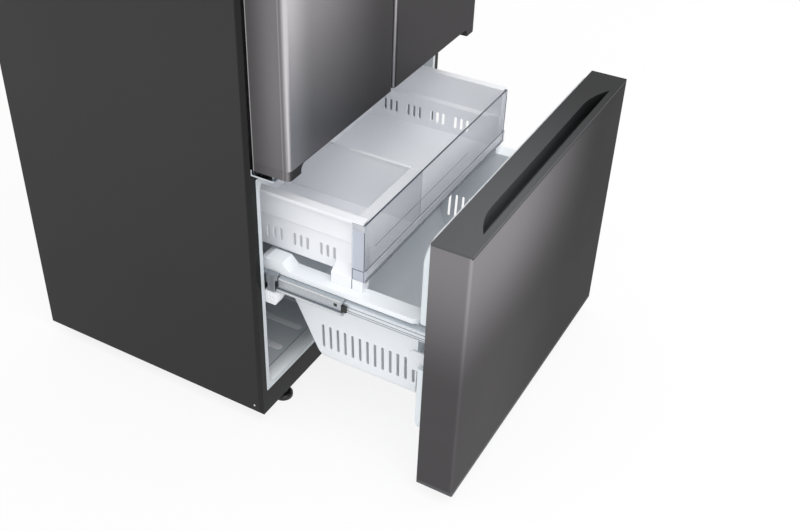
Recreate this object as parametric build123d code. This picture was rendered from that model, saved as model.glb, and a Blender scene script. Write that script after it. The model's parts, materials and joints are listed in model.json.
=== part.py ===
from build123d import *
from math import atan2, cos, pi, sin
import os

os.makedirs("parts", exist_ok=True)

# Bottom freezer refrigerator with two upper doors and one freezer drawer, in millimetres.
# X runs to the right seen from the front, Y to the back, Z up, and the floor is z = 0.
# The doors are shut and the drawer stands open on its rails, with the tray pulled out above its basket.

# ---- Overall sizes
WIDTH = 908.0            # case, pair of doors and drawer front
CASE_DEPTH = 737.0       # front plane of the case to its rear edge
CASE_HEIGHT = 1703.0     # lower edge of the case to its top
CASE_LIFT = 40.0         # floor to the lower edge of the case
FRONT_THICK = 95.0       # doors and drawer front
SEAL_GAP = 9.0           # between a shut front and the case
DRAWER_TRAVEL = 436.0    # shut to open
DRAWER_SILL = 2.0        # lower edge of the case to the lower edge of the drawer front
DRAWER_HEIGHT = 707.0
DOOR_GAP = 32.0          # drawer front to doors
DOOR_TOP_DROP = 3.0      # case top to door top
DOORS_APART = 6.0        # between the two doors

# ---- Stock and clearances
SHEET = 1.0              # painted and stainless steel skins
LINER = 2.0              # moulded liners
CLEAR = 0.3              # seating gap between neighbours
SLIP = 2.0               # running gap beside what slides
OVERCUT = 5.0            # how far a cutter runs past a face

# ---- Case
CASE_BAND = 18.0         # band folded in round the front of the case
CASE_BEND = 5.0
FLANGE = 13.0            # liner flange beside the band
FLANGE_ROUND = 26.0      # corner of the liner mouth
FLANGE_EDGE = 4.0        # outer corner of the flange
BACK_RECESS = 6.0        # rear edge of the case to the back panel
BACK_RIB = 4.0           # ribs pressed in the back panel
BACK_RIB_WIDTH = 60.0
BACK_RIB_COUNT = 5
REAR_WALL = 62.0         # rear edge of the case to the inside of the liners
TOP_WALL = 50.0
FRIDGE_WALL = 46.0       # side wall of the upper compartment
DIVIDER = 84.0           # wall between the two compartments

# ---- Freezer compartment
FREEZER_CEILING = 18.0   # drawer top down to the ceiling
FREEZER_FLOOR = 80.0     # drawer bottom up to the floor
BAY_DEPTH = 213.0        # machine bay, from the rear edge forward
BAY_HEIGHT = 255.0       # machine bay, from the lower edge of the case
BAY_WALL = 54.0          # wall between the bay and the freezer
COOLER_BAY = 88.0        # evaporator space behind its cover

# ---- Base, feet and rollers
BASE_SHEET = 2.0
FOOT_IN = 124.0          # side of the case to the foot
FOOT_BACK = 25.0         # front of the case to the foot
FOOT_DISC = 52.0
FOOT_DISC_THICK = 14.0
FOOT_CHAMFER = 4.6
FOOT_STUD = 12.0
FOOT_NUT = 26.0
FOOT_NUT_THICK = 9.0
ROLLER_IN = 64.0
ROLLER_BACK = 66.0
ROLLER_DIA = 36.0
ROLLER_WIDTH = 26.0
ROLLER_PIN = 9.0
CHEEK = 2.5

# ---- Machine bay
COMPRESSOR_DIA = 164.0
COMPRESSOR_HEIGHT = 168.0
COMPRESSOR_IN = 219.0    # left side of the case to its axis
POT_SHOULDER = 42.0      # sloped shoulder of the pot
GROMMET_HEIGHT = 14.0
GROMMET_DIA = 24.0
GROMMET_PITCH_X = 150.0
GROMMET_PITCH_Y = 120.0
TERMINAL_RISE = 56.0     # base plate to the terminal box
TERMINAL_HEIGHT = 45.0
TERMINAL_WIDTH = 48.0
TERMINAL_SINK = 16.0     # how far it is let into the pot
TERMINAL_PROUD = 24.0
PIPE_IN = 27.0           # axis of the pot to the stub pipe
PIPE_SINK = 17.0
CONDENSER_X = 85.0
CONDENSER_DEPTH = 130.0
CONDENSER_HEIGHT = 168.0
CONDENSER_FINS = 8
CONDENSER_ROWS = 2
COOLER_FIN = 1.2
COOLER_TUBE = 9.0
TUBE_FLATS = 8
FAN_DIA = 132.0
FAN_X = -40.0
FAN_HUB = 38.0
FAN_BLADES = 5
BLADE_THICK = 2.0
BLADE_PITCH = 32.0       # blade angle in degrees
FAN_DEPTH = 22.0
DRAIN_IN = 52.0          # right side of the case to the pan
DRAIN_WIDTH = 118.0
DRAIN_HEIGHT = 46.0
LOUVRE_ROWS = 4
LOUVRE_COLUMNS = 7
LOUVRE_WIDTH = 68.0
LOUVRE_HEIGHT = 7.0
LOUVRE_MARGIN = 100.0
INLET_WIDTH = 50.0
INLET_HEIGHT = 30.0
INLET_DEPTH = 26.0
INLET_WALL = 4.0
INLET_WELL = 18.0
INLET_RISE = 30.0        # floor of the bay to the middle of the inlet
INLET_BLADE = (2.0, 6.0)
INLET_BLADE_LENGTH = 15.0
INLET_BLADE_PITCH = 12.5
INLET_IN = 62.0          # left side of the case to the middle of the inlet

# ---- Freezer cooling
EVAPORATOR_WIDTH = 560.0
EVAPORATOR_DEPTH = 52.0
EVAPORATOR_HEIGHT = 190.0
EVAPORATOR_FINS = 10
EVAPORATOR_ROWS = 2
COOLER_COVER = 2.5
COLD_FAN_DIA = 104.0
COLD_FAN_DROP = 64.5     # ceiling to the axis of the fan
VENT_COUNT = 7
VENT_WIDTH = 60.0
VENT_HEIGHT = 7.0

# ---- Drawer front
PANEL_BEND = 4.0         # small corner of the drawer skin
TOP_CAP = 6.0
BOTTOM_CAP = 10.0
POCKET_FRONT = 16.5      # drawer face to the handle pocket
POCKET_BACK = 47.0
POCKET_IN = 83.0         # side of the drawer front to the tip of the pocket
POCKET_CURVE = 108.0     # curved end of its back edge
POCKET_DEPTH = 50.0
POCKET_WALL = 2.5
POCKET_HOOK = 8.0        # finger room under the front lip
POCKET_LIP = 10.0
GASKET_WIDTH = 12.0
GASKET_IN = 18.0         # side of the front to the gasket
DRAWER_GASKET_TOP = 7.0
DRAWER_GASKET_FOOT = 52.0
GASKET_ROUND = 22.0
DYKE_IN = 54.0           # side of the drawer front to its raised dyke
DYKE_TOP = 63.0
DYKE_FOOT = 93.0
DYKE_WIDTH = 18.0
DYKE_HIGH = 42.0
DYKE_ROUND = 50.0
DYKE_CHAMFER = 4.5

# ---- Rails
RAIL_DROP = 298.5        # drawer top to the middle of the rails
OUTER_RAIL_HEIGHT = 53.0
MIDDLE_RAIL_HEIGHT = 43.0
RAIL_WEB = 2.0
RAIL_RIDGE = 7.0         # ball races along the middle member
OUTER_RAIL_DEPTH = 20.7  # web to the tips of its lips
MIDDLE_RAIL_DEPTH = 14.0
INNER_RAIL_DEPTH = 19.7
RAIL_STEP = 10.3         # liner wall to the middle member, at its outer side
OUTER_RAIL_LENGTH = 452.0
MIDDLE_RAIL_LENGTH = 440.0
MIDDLE_SETBACK = 234.0   # back of the open drawer front to the middle member
INNER_RAIL_LENGTH = 512.0
BUMPER = 9.0
RAIL_POCKET_DEPTH = 48.0
RAIL_POCKET_IN = 31.0    # side of the drawer front to the pocket
RAIL_POCKET_WIDTH = 46.0
RAIL_POCKET_HEIGHT = 134.0
RAIL_POCKET_DROP = 268.0
BRACKET_REACH = 34.0     # how far the T bracket stands in front of the case
BRACKET_THICK = 3.0
BRACKET_STEM = 20.0
BRACKET_HEAD = 13.0
BRACKET_IN = 5.0         # liner wall to the bracket
CAP_WIDTH = 29.0
CAP_HEIGHT = 35.0
CAP_REACH = 36.0
CAP_CHAMFER = 17.0
CAP_CELL = 7.5           # shallow cells moulded in its outer side
CAP_CELL_PITCH = 11.0
CAP_CELL_IN = 7.0
CAP_CELL_ROWS = 2
CAP_CELL_COLUMNS = 2

# ---- Basket
BASKET_DROP = 262.0      # drawer top to the basket rim
BASKET_IN = 54.0         # side of the drawer front to the rim
BASKET_WALL = 3.0
BASKET_SETBACK = 46.0    # back of the drawer front to the rim
BASKET_RIM_FRONT = 18.0
BASKET_RIM_SIDE = 44.0
BASKET_RIM_REAR = 22.0
BASKET_RIM_LIP = 14.0
BASKET_DEPTH = 289.0     # rim to the floor, inside
BASKET_FLOOR_IN = 16.0   # how far each side leans in at the floor
BASKET_FLOOR_ROUND = 26.0
BASKET_FLOOR_SAG = 7.0   # bow of that round corner
BASKET_SHOULDER = (66.0, 136.0)  # rear wall under the rim: forward, down
BASKET_BACK_RUN = 65.0   # steep lower stretch of the rear wall, forward
BASKET_HEEL_ROUND = 64.0
BASKET_LENGTH = 396.0    # inside, along the rim
BASKET_FRONT_LEAN = 9.0
HUMP_LENGTH = 46.0
HUMP_HEIGHT = 20.0
HUMP_IN = 28.0
HUMP_RUN = 10.0          # steep rear end of the hump
SLOT_COUNT = 13
SLOT_PITCH = 21.0
SLOT_WIDTH = 7.5
SLOT_HEIGHT = 75.0
SLOT_DROP = 167.0        # rim to the top of the slots
SLOT_SETBACK = 12.0
REAR_SLOT_COUNT = 15
REAR_SLOT_PITCH = 38.0
REAR_SLOT_HEIGHT = 60.0
REAR_SLOT_DROP = 162.0
CLIP_DROP = 132.0        # rim to the top of the clip
CLIP_LENGTH = 44.0
CLIP_HEIGHT = 62.0
CLIP_THICK = 5.0
CLIP_CHAMFER = 11.0

# ---- Tray
TRAY_DROP = 69.0         # drawer top to the tray rim
TRAY_IN = 76.0           # side of the drawer front to the tray
TRAY_RIM = 22.0
TRAY_LENGTH = 400.0
TRAY_SETBACK = 197.0     # back of the open drawer front to the tray's clear front
TRAY_WALL = 3.0
TRAY_FOLD = 77.0         # rim to the fold in the side walls
TRAY_FOLD_IN = 8.0
TRAY_DEPTH = 168.0
TRAY_REAR_DROP = 20.0
TRAY_RIM_LIP = 9.0
TRAY_POST = 36.0         # corner post behind the clear front
TRAY_POST_DROP = 179.0
TRAY_SHOE = 89.0         # length of the shoe that slides on the basket rim
TRAY_SHOE_HEIGHT = 30.0
TRAY_SHOE_SLOPE = 22.0
TRAY_BAND = 24.0         # white band inside the clear front
TRAY_EAR_LENGTH = 90.0
TRAY_EAR_HEIGHT = 15.4
TRAY_EAR_DROP = 48.0
RUNNER_DEPTH = 27.0
RUNNER_WALL = 4.0
RUNNER_LENGTH = 422.0
RUNNER_SETBACK = 36.0    # clears the dyke of the shut drawer front
TRAY_GROUPS = 4
TRAY_GROUP_PITCH = 74.0
TRAY_SLOTS = 3
TRAY_SLOT_PITCH = 18.0
TRAY_SLOT_WIDTH = 8.0
TRAY_SLOT_HEIGHT = 35.0
TRAY_SLOT_DROP = 113.0
TRAY_SLOT_SETBACK = 92.0
CLEAR_THICK = 4.0
CLEAR_RETURN = 33.0
CLEAR_TOP_DROP = 6.0
CLEAR_SKIRT = 162.0      # rim to the lower edge of the clear front
CLEAR_STEP = 129.0       # rim to the step in the clear front
CLEAR_STEP_OUT = 3.0
TRAY_DIVIDER_X = -95.0
TRAY_DIVIDER_DROP = 13.0
TRAY_DIVIDER_THICK = 4.0
TRAY_BEAD = 8.0          # bead along its top
TRAY_BEAD_HEIGHT = 4.0

# ---- Doors
DOOR_BEND = 12.0
DOOR_CAP = 24.0
DOOR_TOP_CAP = 20.0
DOOR_CAP_END = 46.0      # solid outer end of the bottom cap
DOOR_POCKET = 52.0       # depth of the finger pocket from the face
DOOR_POCKET_ROUND = 16.0
DOOR_GASKET_IN = 20.0
DOOR_GASKET_CENTRE = 11.0
DOOR_GASKET_RISE = 12.0
DOOR_DYKE_OUT = 54.0     # side of the door to its dykes
DOOR_DYKE_CENTRE = 73.0
DOOR_DYKE_WIDTH = 18.0
DOOR_DYKE_HIGH = 55.0
BIN_DEPTH = 108.0
BIN_HEIGHT = 92.0
BIN_WALL = 2.5
BIN_RISE = (70.0, 350.0, 630.0)   # door bottom to each bin
FLAP_WIDTH = 56.0
FLAP_THICK = 19.0
FLAP_CENTRE = 5.0
FLAP_END = 30.0
FLAP_PIN = 6.0

# ---- Hinges
PIVOT_IN = 19.0
PIVOT_FORWARD = 50.0     # front plane of the case to the hinge pins
HINGE_PLATE = 4.0
HINGE_DROP = 12.0        # door bottom to the centre hinge plate
HINGE_WIDTH = 33.0
HINGE_NOSE = 10.0
HINGE_TAB = 16.0
HINGE_PIN = 12.0
HINGE_PIN_LENGTH = 18.0
TOP_HINGE_BACK = 60.0
TOP_HINGE_WIDTH = 60.0
HINGE_COVER = 33.0
HINGE_COVER_WALL = 2.0
HINGE_COVER_MARGIN = 6.0
HINGE_COVER_CHAMFER = 3.3

# ---- Upper compartment
SHELF_FRONT = 130.0      # front plane of the case to the shelves
SHELF_RISE = (330.0, 600.0)       # compartment floor to the half shelves
SHELF_GLASS = 4.0
SHELF_GAP = 8.0          # between the half shelves
SHELF_ARM = 3.0
SHELF_ARM_HEIGHT = 26.0
SHELF_TRIM = 12.0
LADDER_WIDTH = 14.0
LADDER_DEPTH = 9.0
LADDER_SLOT = 6.0
LADDER_PITCH = 80.0
LADDER_IN = 24.0
LADDER_CENTRE = 120.0
CRISPER_HEIGHT = 190.0
CRISPER_WALL = 3.0
CRISPER_LIP = 16.0
CRISPER_APART = 8.0
COVER_THICK = 12.0
DUCT_WIDTH = 150.0
DUCT_RISE = 250.0

# ---- Places worked out from the sizes above
HALF = WIDTH / 2
Y_BACK = (CASE_DEPTH + SEAL_GAP + FRONT_THICK + DRAWER_TRAVEL) / 2
Y_CASE = Y_BACK - CASE_DEPTH
Y_SEAL = Y_CASE - SEAL_GAP
Y_FACE = Y_SEAL - FRONT_THICK
Y_OPEN_FACE = Y_FACE - DRAWER_TRAVEL
Y_OPEN_SEAL = Y_SEAL - DRAWER_TRAVEL
Y_PANEL = Y_BACK - BACK_RECESS
Y_REAR = Y_BACK - REAR_WALL
Y_BAY = Y_BACK - BAY_DEPTH
Y_BAY_WALL = Y_BAY - BAY_WALL
Y_COOLER = Y_REAR - COOLER_BAY
Y_PIVOT = Y_CASE - PIVOT_FORWARD
X_PIVOT = HALF - PIVOT_IN
Z_CASE = CASE_LIFT
Z_TOP = CASE_LIFT + CASE_HEIGHT
Z_DRAWER = Z_CASE + DRAWER_SILL
Z_DRAWER_TOP = Z_DRAWER + DRAWER_HEIGHT
Z_DOOR = Z_DRAWER_TOP + DOOR_GAP
Z_DOOR_TOP = Z_TOP - DOOR_TOP_DROP
Z_BAY = Z_CASE + BAY_HEIGHT
Z_BAY_WALL = Z_BAY + BAY_WALL
Z_FREEZER = Z_DRAWER + FREEZER_FLOOR
Z_CEILING = Z_DRAWER_TOP - FREEZER_CEILING
Z_FRIDGE = Z_CEILING + DIVIDER
Z_FRIDGE_TOP = Z_TOP - TOP_WALL
Z_BASE_TOP = Z_CASE + BASE_SHEET
Z_RAIL = Z_DRAWER_TOP - RAIL_DROP
Z_BASKET = Z_DRAWER_TOP - BASKET_DROP
Z_TRAY = Z_DRAWER_TOP - TRAY_DROP
MOUTH_HALF = HALF - CASE_BAND
FREEZER_HALF = MOUTH_HALF - FLANGE
POCKET_HALF = HALF - POCKET_IN
POCKET_STRAIGHT = POCKET_HALF - POCKET_CURVE
BASKET_HALF = HALF - BASKET_IN
TRAY_HALF = HALF - TRAY_IN
FRIDGE_HALF = HALF - FRIDGE_WALL
SEAL_THICK = SEAL_GAP - CLEAR


def block(x0, x1, y0, y1, z0, z1):
    """Straight block between two corners."""
    return Pos((x0 + x1) / 2, (y0 + y1) / 2, (z0 + z1) / 2) * Box(x1 - x0, y1 - y0, z1 - z0)


def plan_prism(sketch, z0, z1):
    """Run an outline drawn in plan from z0 up to z1."""
    return extrude(Pos(0, 0, z0) * sketch, amount=z1 - z0, dir=(0, 0, 1))


def front_prism(sketch, y0, y1):
    """Run an outline drawn as seen from the front from y0 back to y1."""
    return extrude(Plane.XZ.offset(-y1) * sketch, amount=y1 - y0, dir=(0, -1, 0))


def side_prism(outline, x0, x1):
    """Run an outline of (back, up) points from x0 to x1."""
    face = Plane.YZ.offset(x0) * make_face(Polyline(*outline, close=True))
    return extrude(face, amount=x1 - x0, dir=(1, 0, 0))


def rounded(x0, x1, y0, y1, radius):
    """Rectangle with round corners, between two corners."""
    return Pos((x0 + x1) / 2, (y0 + y1) / 2) * RectangleRounded(x1 - x0, y1 - y0, radius)


def pin(x, y, z0, z1, diameter):
    """Upright round bar."""
    return Pos(x, y, (z0 + z1) / 2) * Cylinder(diameter / 2, z1 - z0)


def bar_x(x0, x1, y, z, diameter):
    """Round bar across the object."""
    return Pos((x0 + x1) / 2, y, z) * Rot(0, 90, 0) * Cylinder(diameter / 2, x1 - x0)


def both_sides(piece):
    """The piece and its mirror image on the right."""
    return [piece, mirror(piece, about=Plane.YZ)]


def save(name, *pieces):
    """Write one node, as one or more separate solids."""
    solids = [solid for piece in pieces for solid in piece.solids()]
    export_step(solids[0] if len(solids) == 1 else Compound(solids), f"parts/{name}.step")


# ---------------------------------------------------------------- case

def arch(half, top, radius, y0, y1, foot):
    """Upright case section, open below, with round upper corners."""
    outline = Pos(0, (foot + top) / 2) * Rectangle(2 * half, top - foot)
    outline = fillet(outline.vertices().group_by(Axis.Y)[-1], radius)
    return front_prism(outline, y0, y1)


def outer_case():
    """Painted wrap: both sides and the top, with a band folded in round the front."""
    outer = arch(HALF, Z_TOP, CASE_BEND, Y_CASE, Y_BACK, Z_CASE)
    hollow = arch(HALF - SHEET, Z_TOP - SHEET, CASE_BEND - SHEET, Y_CASE + SHEET, Y_BACK + OVERCUT,
                  Z_CASE - OVERCUT)
    mouth = arch(MOUTH_HALF, Z_TOP - CASE_BAND, CASE_BEND, Y_CASE - OVERCUT, Y_CASE + OVERCUT,
                 Z_CASE - OVERCUT)
    return outer - hollow - mouth


def back_panel():
    """Rear sheet above the machine bay, with pressed upright ribs."""
    half = HALF - SHEET - CLEAR
    low = Z_BAY + CLEAR
    high = Z_TOP - SHEET - CLEAR
    sheet = block(-half, half, Y_PANEL, Y_PANEL + SHEET, low, high)
    corners = sheet.edges().filter_by(Axis.Y).group_by(Axis.Z)[-1]
    sheet = fillet(corners, CASE_BEND)
    pitch = 2 * half / BACK_RIB_COUNT
    margin = BACK_RIB_WIDTH
    for index in range(BACK_RIB_COUNT):
        centre = -half + (index + 0.5) * pitch
        rib = block(centre - BACK_RIB_WIDTH / 2, centre + BACK_RIB_WIDTH / 2, Y_PANEL + SHEET,
                    Y_PANEL + BACK_RIB, low + margin, high - margin)
        sheet += chamfer(rib.edges().filter_by(Axis.Z).group_by(Axis.Y)[-1], BACK_RIB / 2)
    return sheet


def cavity(half, back, low, high, grow, step=None):
    """Inside of a liner, grown by a wall, with round front corners and an optional step at the rear."""
    mouth = front_prism(rounded(-half - grow, half + grow, low - grow, high + grow, FLANGE_ROUND + grow),
                        Y_CASE - OVERCUT, back + grow)
    if step is None:
        return mouth
    step_y, step_z = step
    corner = block(-HALF, HALF, step_y + grow, back + grow + OVERCUT, low - grow - OVERCUT, step_z - grow)
    return mouth - corner


def freezer_cavity(grow):
    return cavity(FREEZER_HALF, Y_REAR, Z_FREEZER, Z_CEILING, grow, (Y_BAY_WALL, Z_BAY_WALL))


def fridge_cavity(grow):
    return cavity(FRIDGE_HALF, Y_REAR, Z_FRIDGE, Z_FRIDGE_TOP, grow)


def liner(hollow, low, high):
    """Moulded liner: a thin shell with a flange that laps the front of the case."""
    flange = rounded(-MOUTH_HALF + CLEAR, MOUTH_HALF - CLEAR, low, high, FLANGE_EDGE)
    shell = hollow(LINER) + front_prism(flange, Y_CASE, Y_CASE + LINER)
    front_cut = block(-HALF, HALF, Y_CASE - 2 * OVERCUT, Y_CASE, Z_CASE, Z_TOP)
    return shell - hollow(0) - front_cut


FREEZER_FLANGE = (Z_FREEZER - FLANGE, Z_CEILING + FLANGE)
FRIDGE_FLANGE = (Z_FRIDGE - FLANGE, Z_TOP - CASE_BAND - CLEAR)


def insulation():
    """Foam walls between the case and the liners, as separate slabs."""
    gap = LINER + CLEAR
    edge = HALF - SHEET - CLEAR
    back = Y_PANEL - CLEAR
    front = Y_CASE + LINER + CLEAR
    split = (Z_CEILING + Z_FRIDGE) / 2
    ceiling = Z_TOP - SHEET - CLEAR
    low_side = block(FREEZER_HALF + gap, edge, front, back, Z_BASE_TOP + CLEAR, split)
    high_side = block(FRIDGE_HALF + gap, edge, front, back, split + CLEAR, ceiling)
    outer_edge = high_side.edges().filter_by(Axis.Y).group_by(Axis.Z)[-1].sort_by(Axis.X)[-1]
    high_side = chamfer(outer_edge, CASE_BEND)
    low_half = FREEZER_HALF + LINER
    high_half = FRIDGE_HALF + LINER
    top = block(-high_half, high_half, front, back, Z_FRIDGE_TOP + gap, ceiling)
    divider = block(-high_half, high_half, front, back, Z_CEILING + gap, Z_FRIDGE - gap)
    rear_high = block(-high_half, high_half, Y_REAR + gap, back, Z_FRIDGE - LINER, Z_FRIDGE_TOP + LINER)
    rear_low = block(-low_half, low_half, Y_REAR + gap, back, Z_BAY_WALL - LINER, Z_CEILING + LINER)
    bay_roof = block(-low_half, low_half, Y_BAY_WALL + gap, back, Z_BAY + CLEAR, Z_BAY_WALL - gap)
    bay_front = block(-low_half, low_half, Y_BAY_WALL + gap, Y_BAY - CLEAR, Z_FREEZER - gap, Z_BAY)
    floor = block(-low_half, low_half, front, Y_BAY - CLEAR, Z_BASE_TOP + CLEAR, Z_FREEZER - gap - CLEAR)
    return both_sides(low_side) + both_sides(high_side) + [top, divider, rear_high, rear_low, bay_roof,
                                                           bay_front, floor]


def mullion_cover():
    """Steel strip across the front of the wall between the compartments."""
    strip = block(-MOUTH_HALF + CLEAR, MOUTH_HALF - CLEAR, Y_CASE, Y_CASE + SHEET,
                  FREEZER_FLANGE[1] + CLEAR, FRIDGE_FLANGE[0] - CLEAR)
    lip = block(-MOUTH_HALF + CLEAR, MOUTH_HALF - CLEAR, Y_CASE + SHEET, Y_CASE + LINER,
                FREEZER_FLANGE[1] + CLEAR, FREEZER_FLANGE[1] + CLEAR + LINER)
    return strip + lip


def roller_place():
    return HALF - ROLLER_IN, Y_BACK - ROLLER_BACK, ROLLER_DIA / 2


def base_frame():
    """Bottom pan with the dark sill under the drawer opening and the brackets of the rear rollers."""
    half = HALF - SHEET - CLEAR
    pan = block(-half, half, Y_CASE + SHEET + CLEAR, Y_PANEL - CLEAR, Z_CASE, Z_BASE_TOP)
    sill = block(-MOUTH_HALF + CLEAR, MOUTH_HALF - CLEAR, Y_CASE, Y_CASE + BASE_SHEET, Z_CASE,
                 FREEZER_FLANGE[0] - CLEAR)
    frame = pan + sill
    foot = pin(HALF - FOOT_IN, Y_CASE + FOOT_BACK, Z_CASE - OVERCUT, Z_BASE_TOP + OVERCUT,
               FOOT_STUD + 2 * CLEAR)
    for hole in both_sides(foot):
        frame -= hole
    x, y, z = roller_place()
    inner = ROLLER_WIDTH / 2 + CLEAR
    width = ROLLER_PIN + 4 * CHEEK
    cheeks = bar_x(x - inner - CHEEK, x + inner + CHEEK, y, z, ROLLER_PIN)
    for x0 in (x - inner - CHEEK, x + inner):
        cheeks += block(x0, x0 + CHEEK, y - width / 2, y + width / 2, z - ROLLER_PIN, Z_CASE)
    for bracket in both_sides(cheeks):
        frame += bracket
    return frame


def front_foot():
    """Levelling foot: a wide disc, a nut and a stud screwed up into the pan."""
    x = HALF - FOOT_IN
    y = Y_CASE + FOOT_BACK
    disc = pin(x, y, 0, FOOT_DISC_THICK, FOOT_DISC)
    disc = chamfer(disc.edges().group_by(Axis.Z)[-1], FOOT_CHAMFER)
    nut = plan_prism(Pos(x, y) * RegularPolygon(FOOT_NUT / 2, 6), FOOT_DISC_THICK,
                     FOOT_DISC_THICK + FOOT_NUT_THICK)
    return disc + nut + pin(x, y, FOOT_DISC_THICK, Z_BASE_TOP + CLEAR, FOOT_STUD)


def rear_roller():
    """Roller with a crowned tread and a bore for its pin."""
    x, y, z = roller_place()
    wheel = bar_x(x - ROLLER_WIDTH / 2, x + ROLLER_WIDTH / 2, y, z, ROLLER_DIA)
    wheel = chamfer(wheel.edges().filter_by(GeomType.CIRCLE), CHEEK)
    bore = bar_x(x - ROLLER_WIDTH, x + ROLLER_WIDTH, y, z, ROLLER_PIN + 2 * CLEAR)
    return wheel - bore


# ---------------------------------------------------------------- machine bay

COMPRESSOR_X = -HALF + COMPRESSOR_IN
INLET_X = -HALF + INLET_IN
DRAIN_X = HALF - DRAIN_IN - DRAIN_WIDTH
Y_MACHINE = (Y_BAY + Y_PANEL) / 2
Z_MACHINE = Z_BASE_TOP + CLEAR


def grommet_places():
    """The four mounting points of the compressor."""
    return [(COMPRESSOR_X + x, Y_MACHINE + y) for x in (-GROMMET_PITCH_X / 2, GROMMET_PITCH_X / 2)
            for y in (-GROMMET_PITCH_Y / 2, GROMMET_PITCH_Y / 2)]


def compressor():
    """Welded pot compressor on a base plate, with its terminal box and stub pipes."""
    floor = Z_MACHINE + GROMMET_HEIGHT + CLEAR
    radius = COMPRESSOR_DIA / 2
    crown = floor + COMPRESSOR_HEIGHT
    seam = floor + COMPRESSOR_HEIGHT / 2
    proud = radius + BASE_SHEET
    profile = Polyline((0, floor + SHEET), (radius, floor + SHEET), (radius, seam - BASE_SHEET),
                       (proud, seam - BASE_SHEET), (proud, seam + BASE_SHEET), (radius, seam + BASE_SHEET),
                       (radius, crown - POT_SHOULDER), (radius - POT_SHOULDER / 3, crown - POT_SHOULDER / 3),
                       (radius - POT_SHOULDER, crown), (0, crown), close=True)
    body = Pos(COMPRESSOR_X, Y_MACHINE, 0) * revolve(Plane.XZ * make_face(profile), Axis.Z)
    reach_x = (GROMMET_PITCH_X + GROMMET_DIA) / 2
    reach_y = (GROMMET_PITCH_Y + GROMMET_DIA) / 2
    plate = plan_prism(rounded(COMPRESSOR_X - reach_x, COMPRESSOR_X + reach_x, Y_MACHINE - reach_y,
                               Y_MACHINE + reach_y, GROMMET_DIA / 2), floor, floor + BASE_SHEET)
    box = block(COMPRESSOR_X + radius - TERMINAL_SINK, COMPRESSOR_X + radius + TERMINAL_PROUD,
                Y_MACHINE - TERMINAL_WIDTH / 2, Y_MACHINE + TERMINAL_WIDTH / 2, floor + TERMINAL_RISE,
                floor + TERMINAL_RISE + TERMINAL_HEIGHT)
    pipe = pin(COMPRESSOR_X - PIPE_IN, Y_MACHINE, floor + COMPRESSOR_HEIGHT - PIPE_SINK,
               floor + COMPRESSOR_HEIGHT + GROMMET_HEIGHT, COOLER_TUBE)
    return body + plate + box + pipe


def grommets():
    """Rubber feet under the compressor."""
    return [pin(x, y, Z_MACHINE, Z_MACHINE + GROMMET_HEIGHT, GROMMET_DIA) for x, y in grommet_places()]


def tube_end(x, y, z):
    """Section of a cooler tube, drawn with eight flats."""
    return Plane.YZ.offset(x) * Pos(y, z) * RegularPolygon(COOLER_TUBE / 2, TUBE_FLATS)


def return_bend(x, y, low, high, direction):
    """Half-round bend that joins two tubes at their ends."""
    return revolve(tube_end(x, y, low), Axis((x, y, (low + high) / 2), (0, -direction, 0)), 180)


def finned_coil(x0, x1, y0, y1, z0, z1, fins, rows):
    """Tube coil through upright fins, with its return bends at both ends."""
    rise = (z1 - z0) / rows
    y = (y0 + y1) / 2
    start = x0 + (rise + COOLER_TUBE) / 2
    end = x1 - (rise + COOLER_TUBE) / 2
    heights = [z0 + (index + 0.5) * rise for index in range(rows)]
    coil = extrude(tube_end(start, y, heights[0]), amount=end - start, dir=(1, 0, 0))
    for z in heights[1:]:
        coil += extrude(tube_end(start, y, z), amount=end - start, dir=(1, 0, 0))
    pitch = (end - start - 2 * COOLER_TUBE) / (fins - 1)
    for index in range(fins):
        x = start + COOLER_TUBE + index * pitch
        coil += block(x - COOLER_FIN / 2, x + COOLER_FIN / 2, y0, y1, z0, z1)
    for index, (low, high) in enumerate(zip(heights, heights[1:])):
        direction = 1 if index % 2 == 0 else -1
        coil += return_bend(end if direction > 0 else start, y, low, high, direction)
    return coil


def condenser():
    return finned_coil(CONDENSER_X, DRAIN_X - COOLER_TUBE, Y_MACHINE - CONDENSER_DEPTH / 2,
                       Y_MACHINE + CONDENSER_DEPTH / 2, Z_MACHINE, Z_MACHINE + CONDENSER_HEIGHT,
                       CONDENSER_FINS, CONDENSER_ROWS)


def fan_blades(diameter, hub, depth):
    """Axial fan round the local Z axis: a hub and pitched blades."""
    wheel = Cylinder(hub / 2, depth)
    reach = (diameter - hub) / 2 + hub / 4
    chord = (diameter + hub) / 2 * sin(pi / FAN_BLADES)
    for index in range(FAN_BLADES):
        blade = Box(reach, chord, BLADE_THICK)
        blade = Rot(BLADE_PITCH, 0, 0) * blade
        blade = Pos(hub / 4 + reach / 2, 0, 0) * blade
        wheel += Rot(0, 0, index * 360 / FAN_BLADES) * blade
    trim = Cylinder(diameter / 2, depth)
    bore = Cylinder(ROLLER_PIN / 2 + CLEAR, 2 * depth)
    return (wheel & trim) - bore


Z_FAN = Z_MACHINE + CONDENSER_HEIGHT / 2


def condenser_fan():
    return Pos(FAN_X, Y_MACHINE, Z_FAN) * Rot(0, 90, 0) * fan_blades(FAN_DIA, FAN_HUB, FAN_DEPTH)


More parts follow.
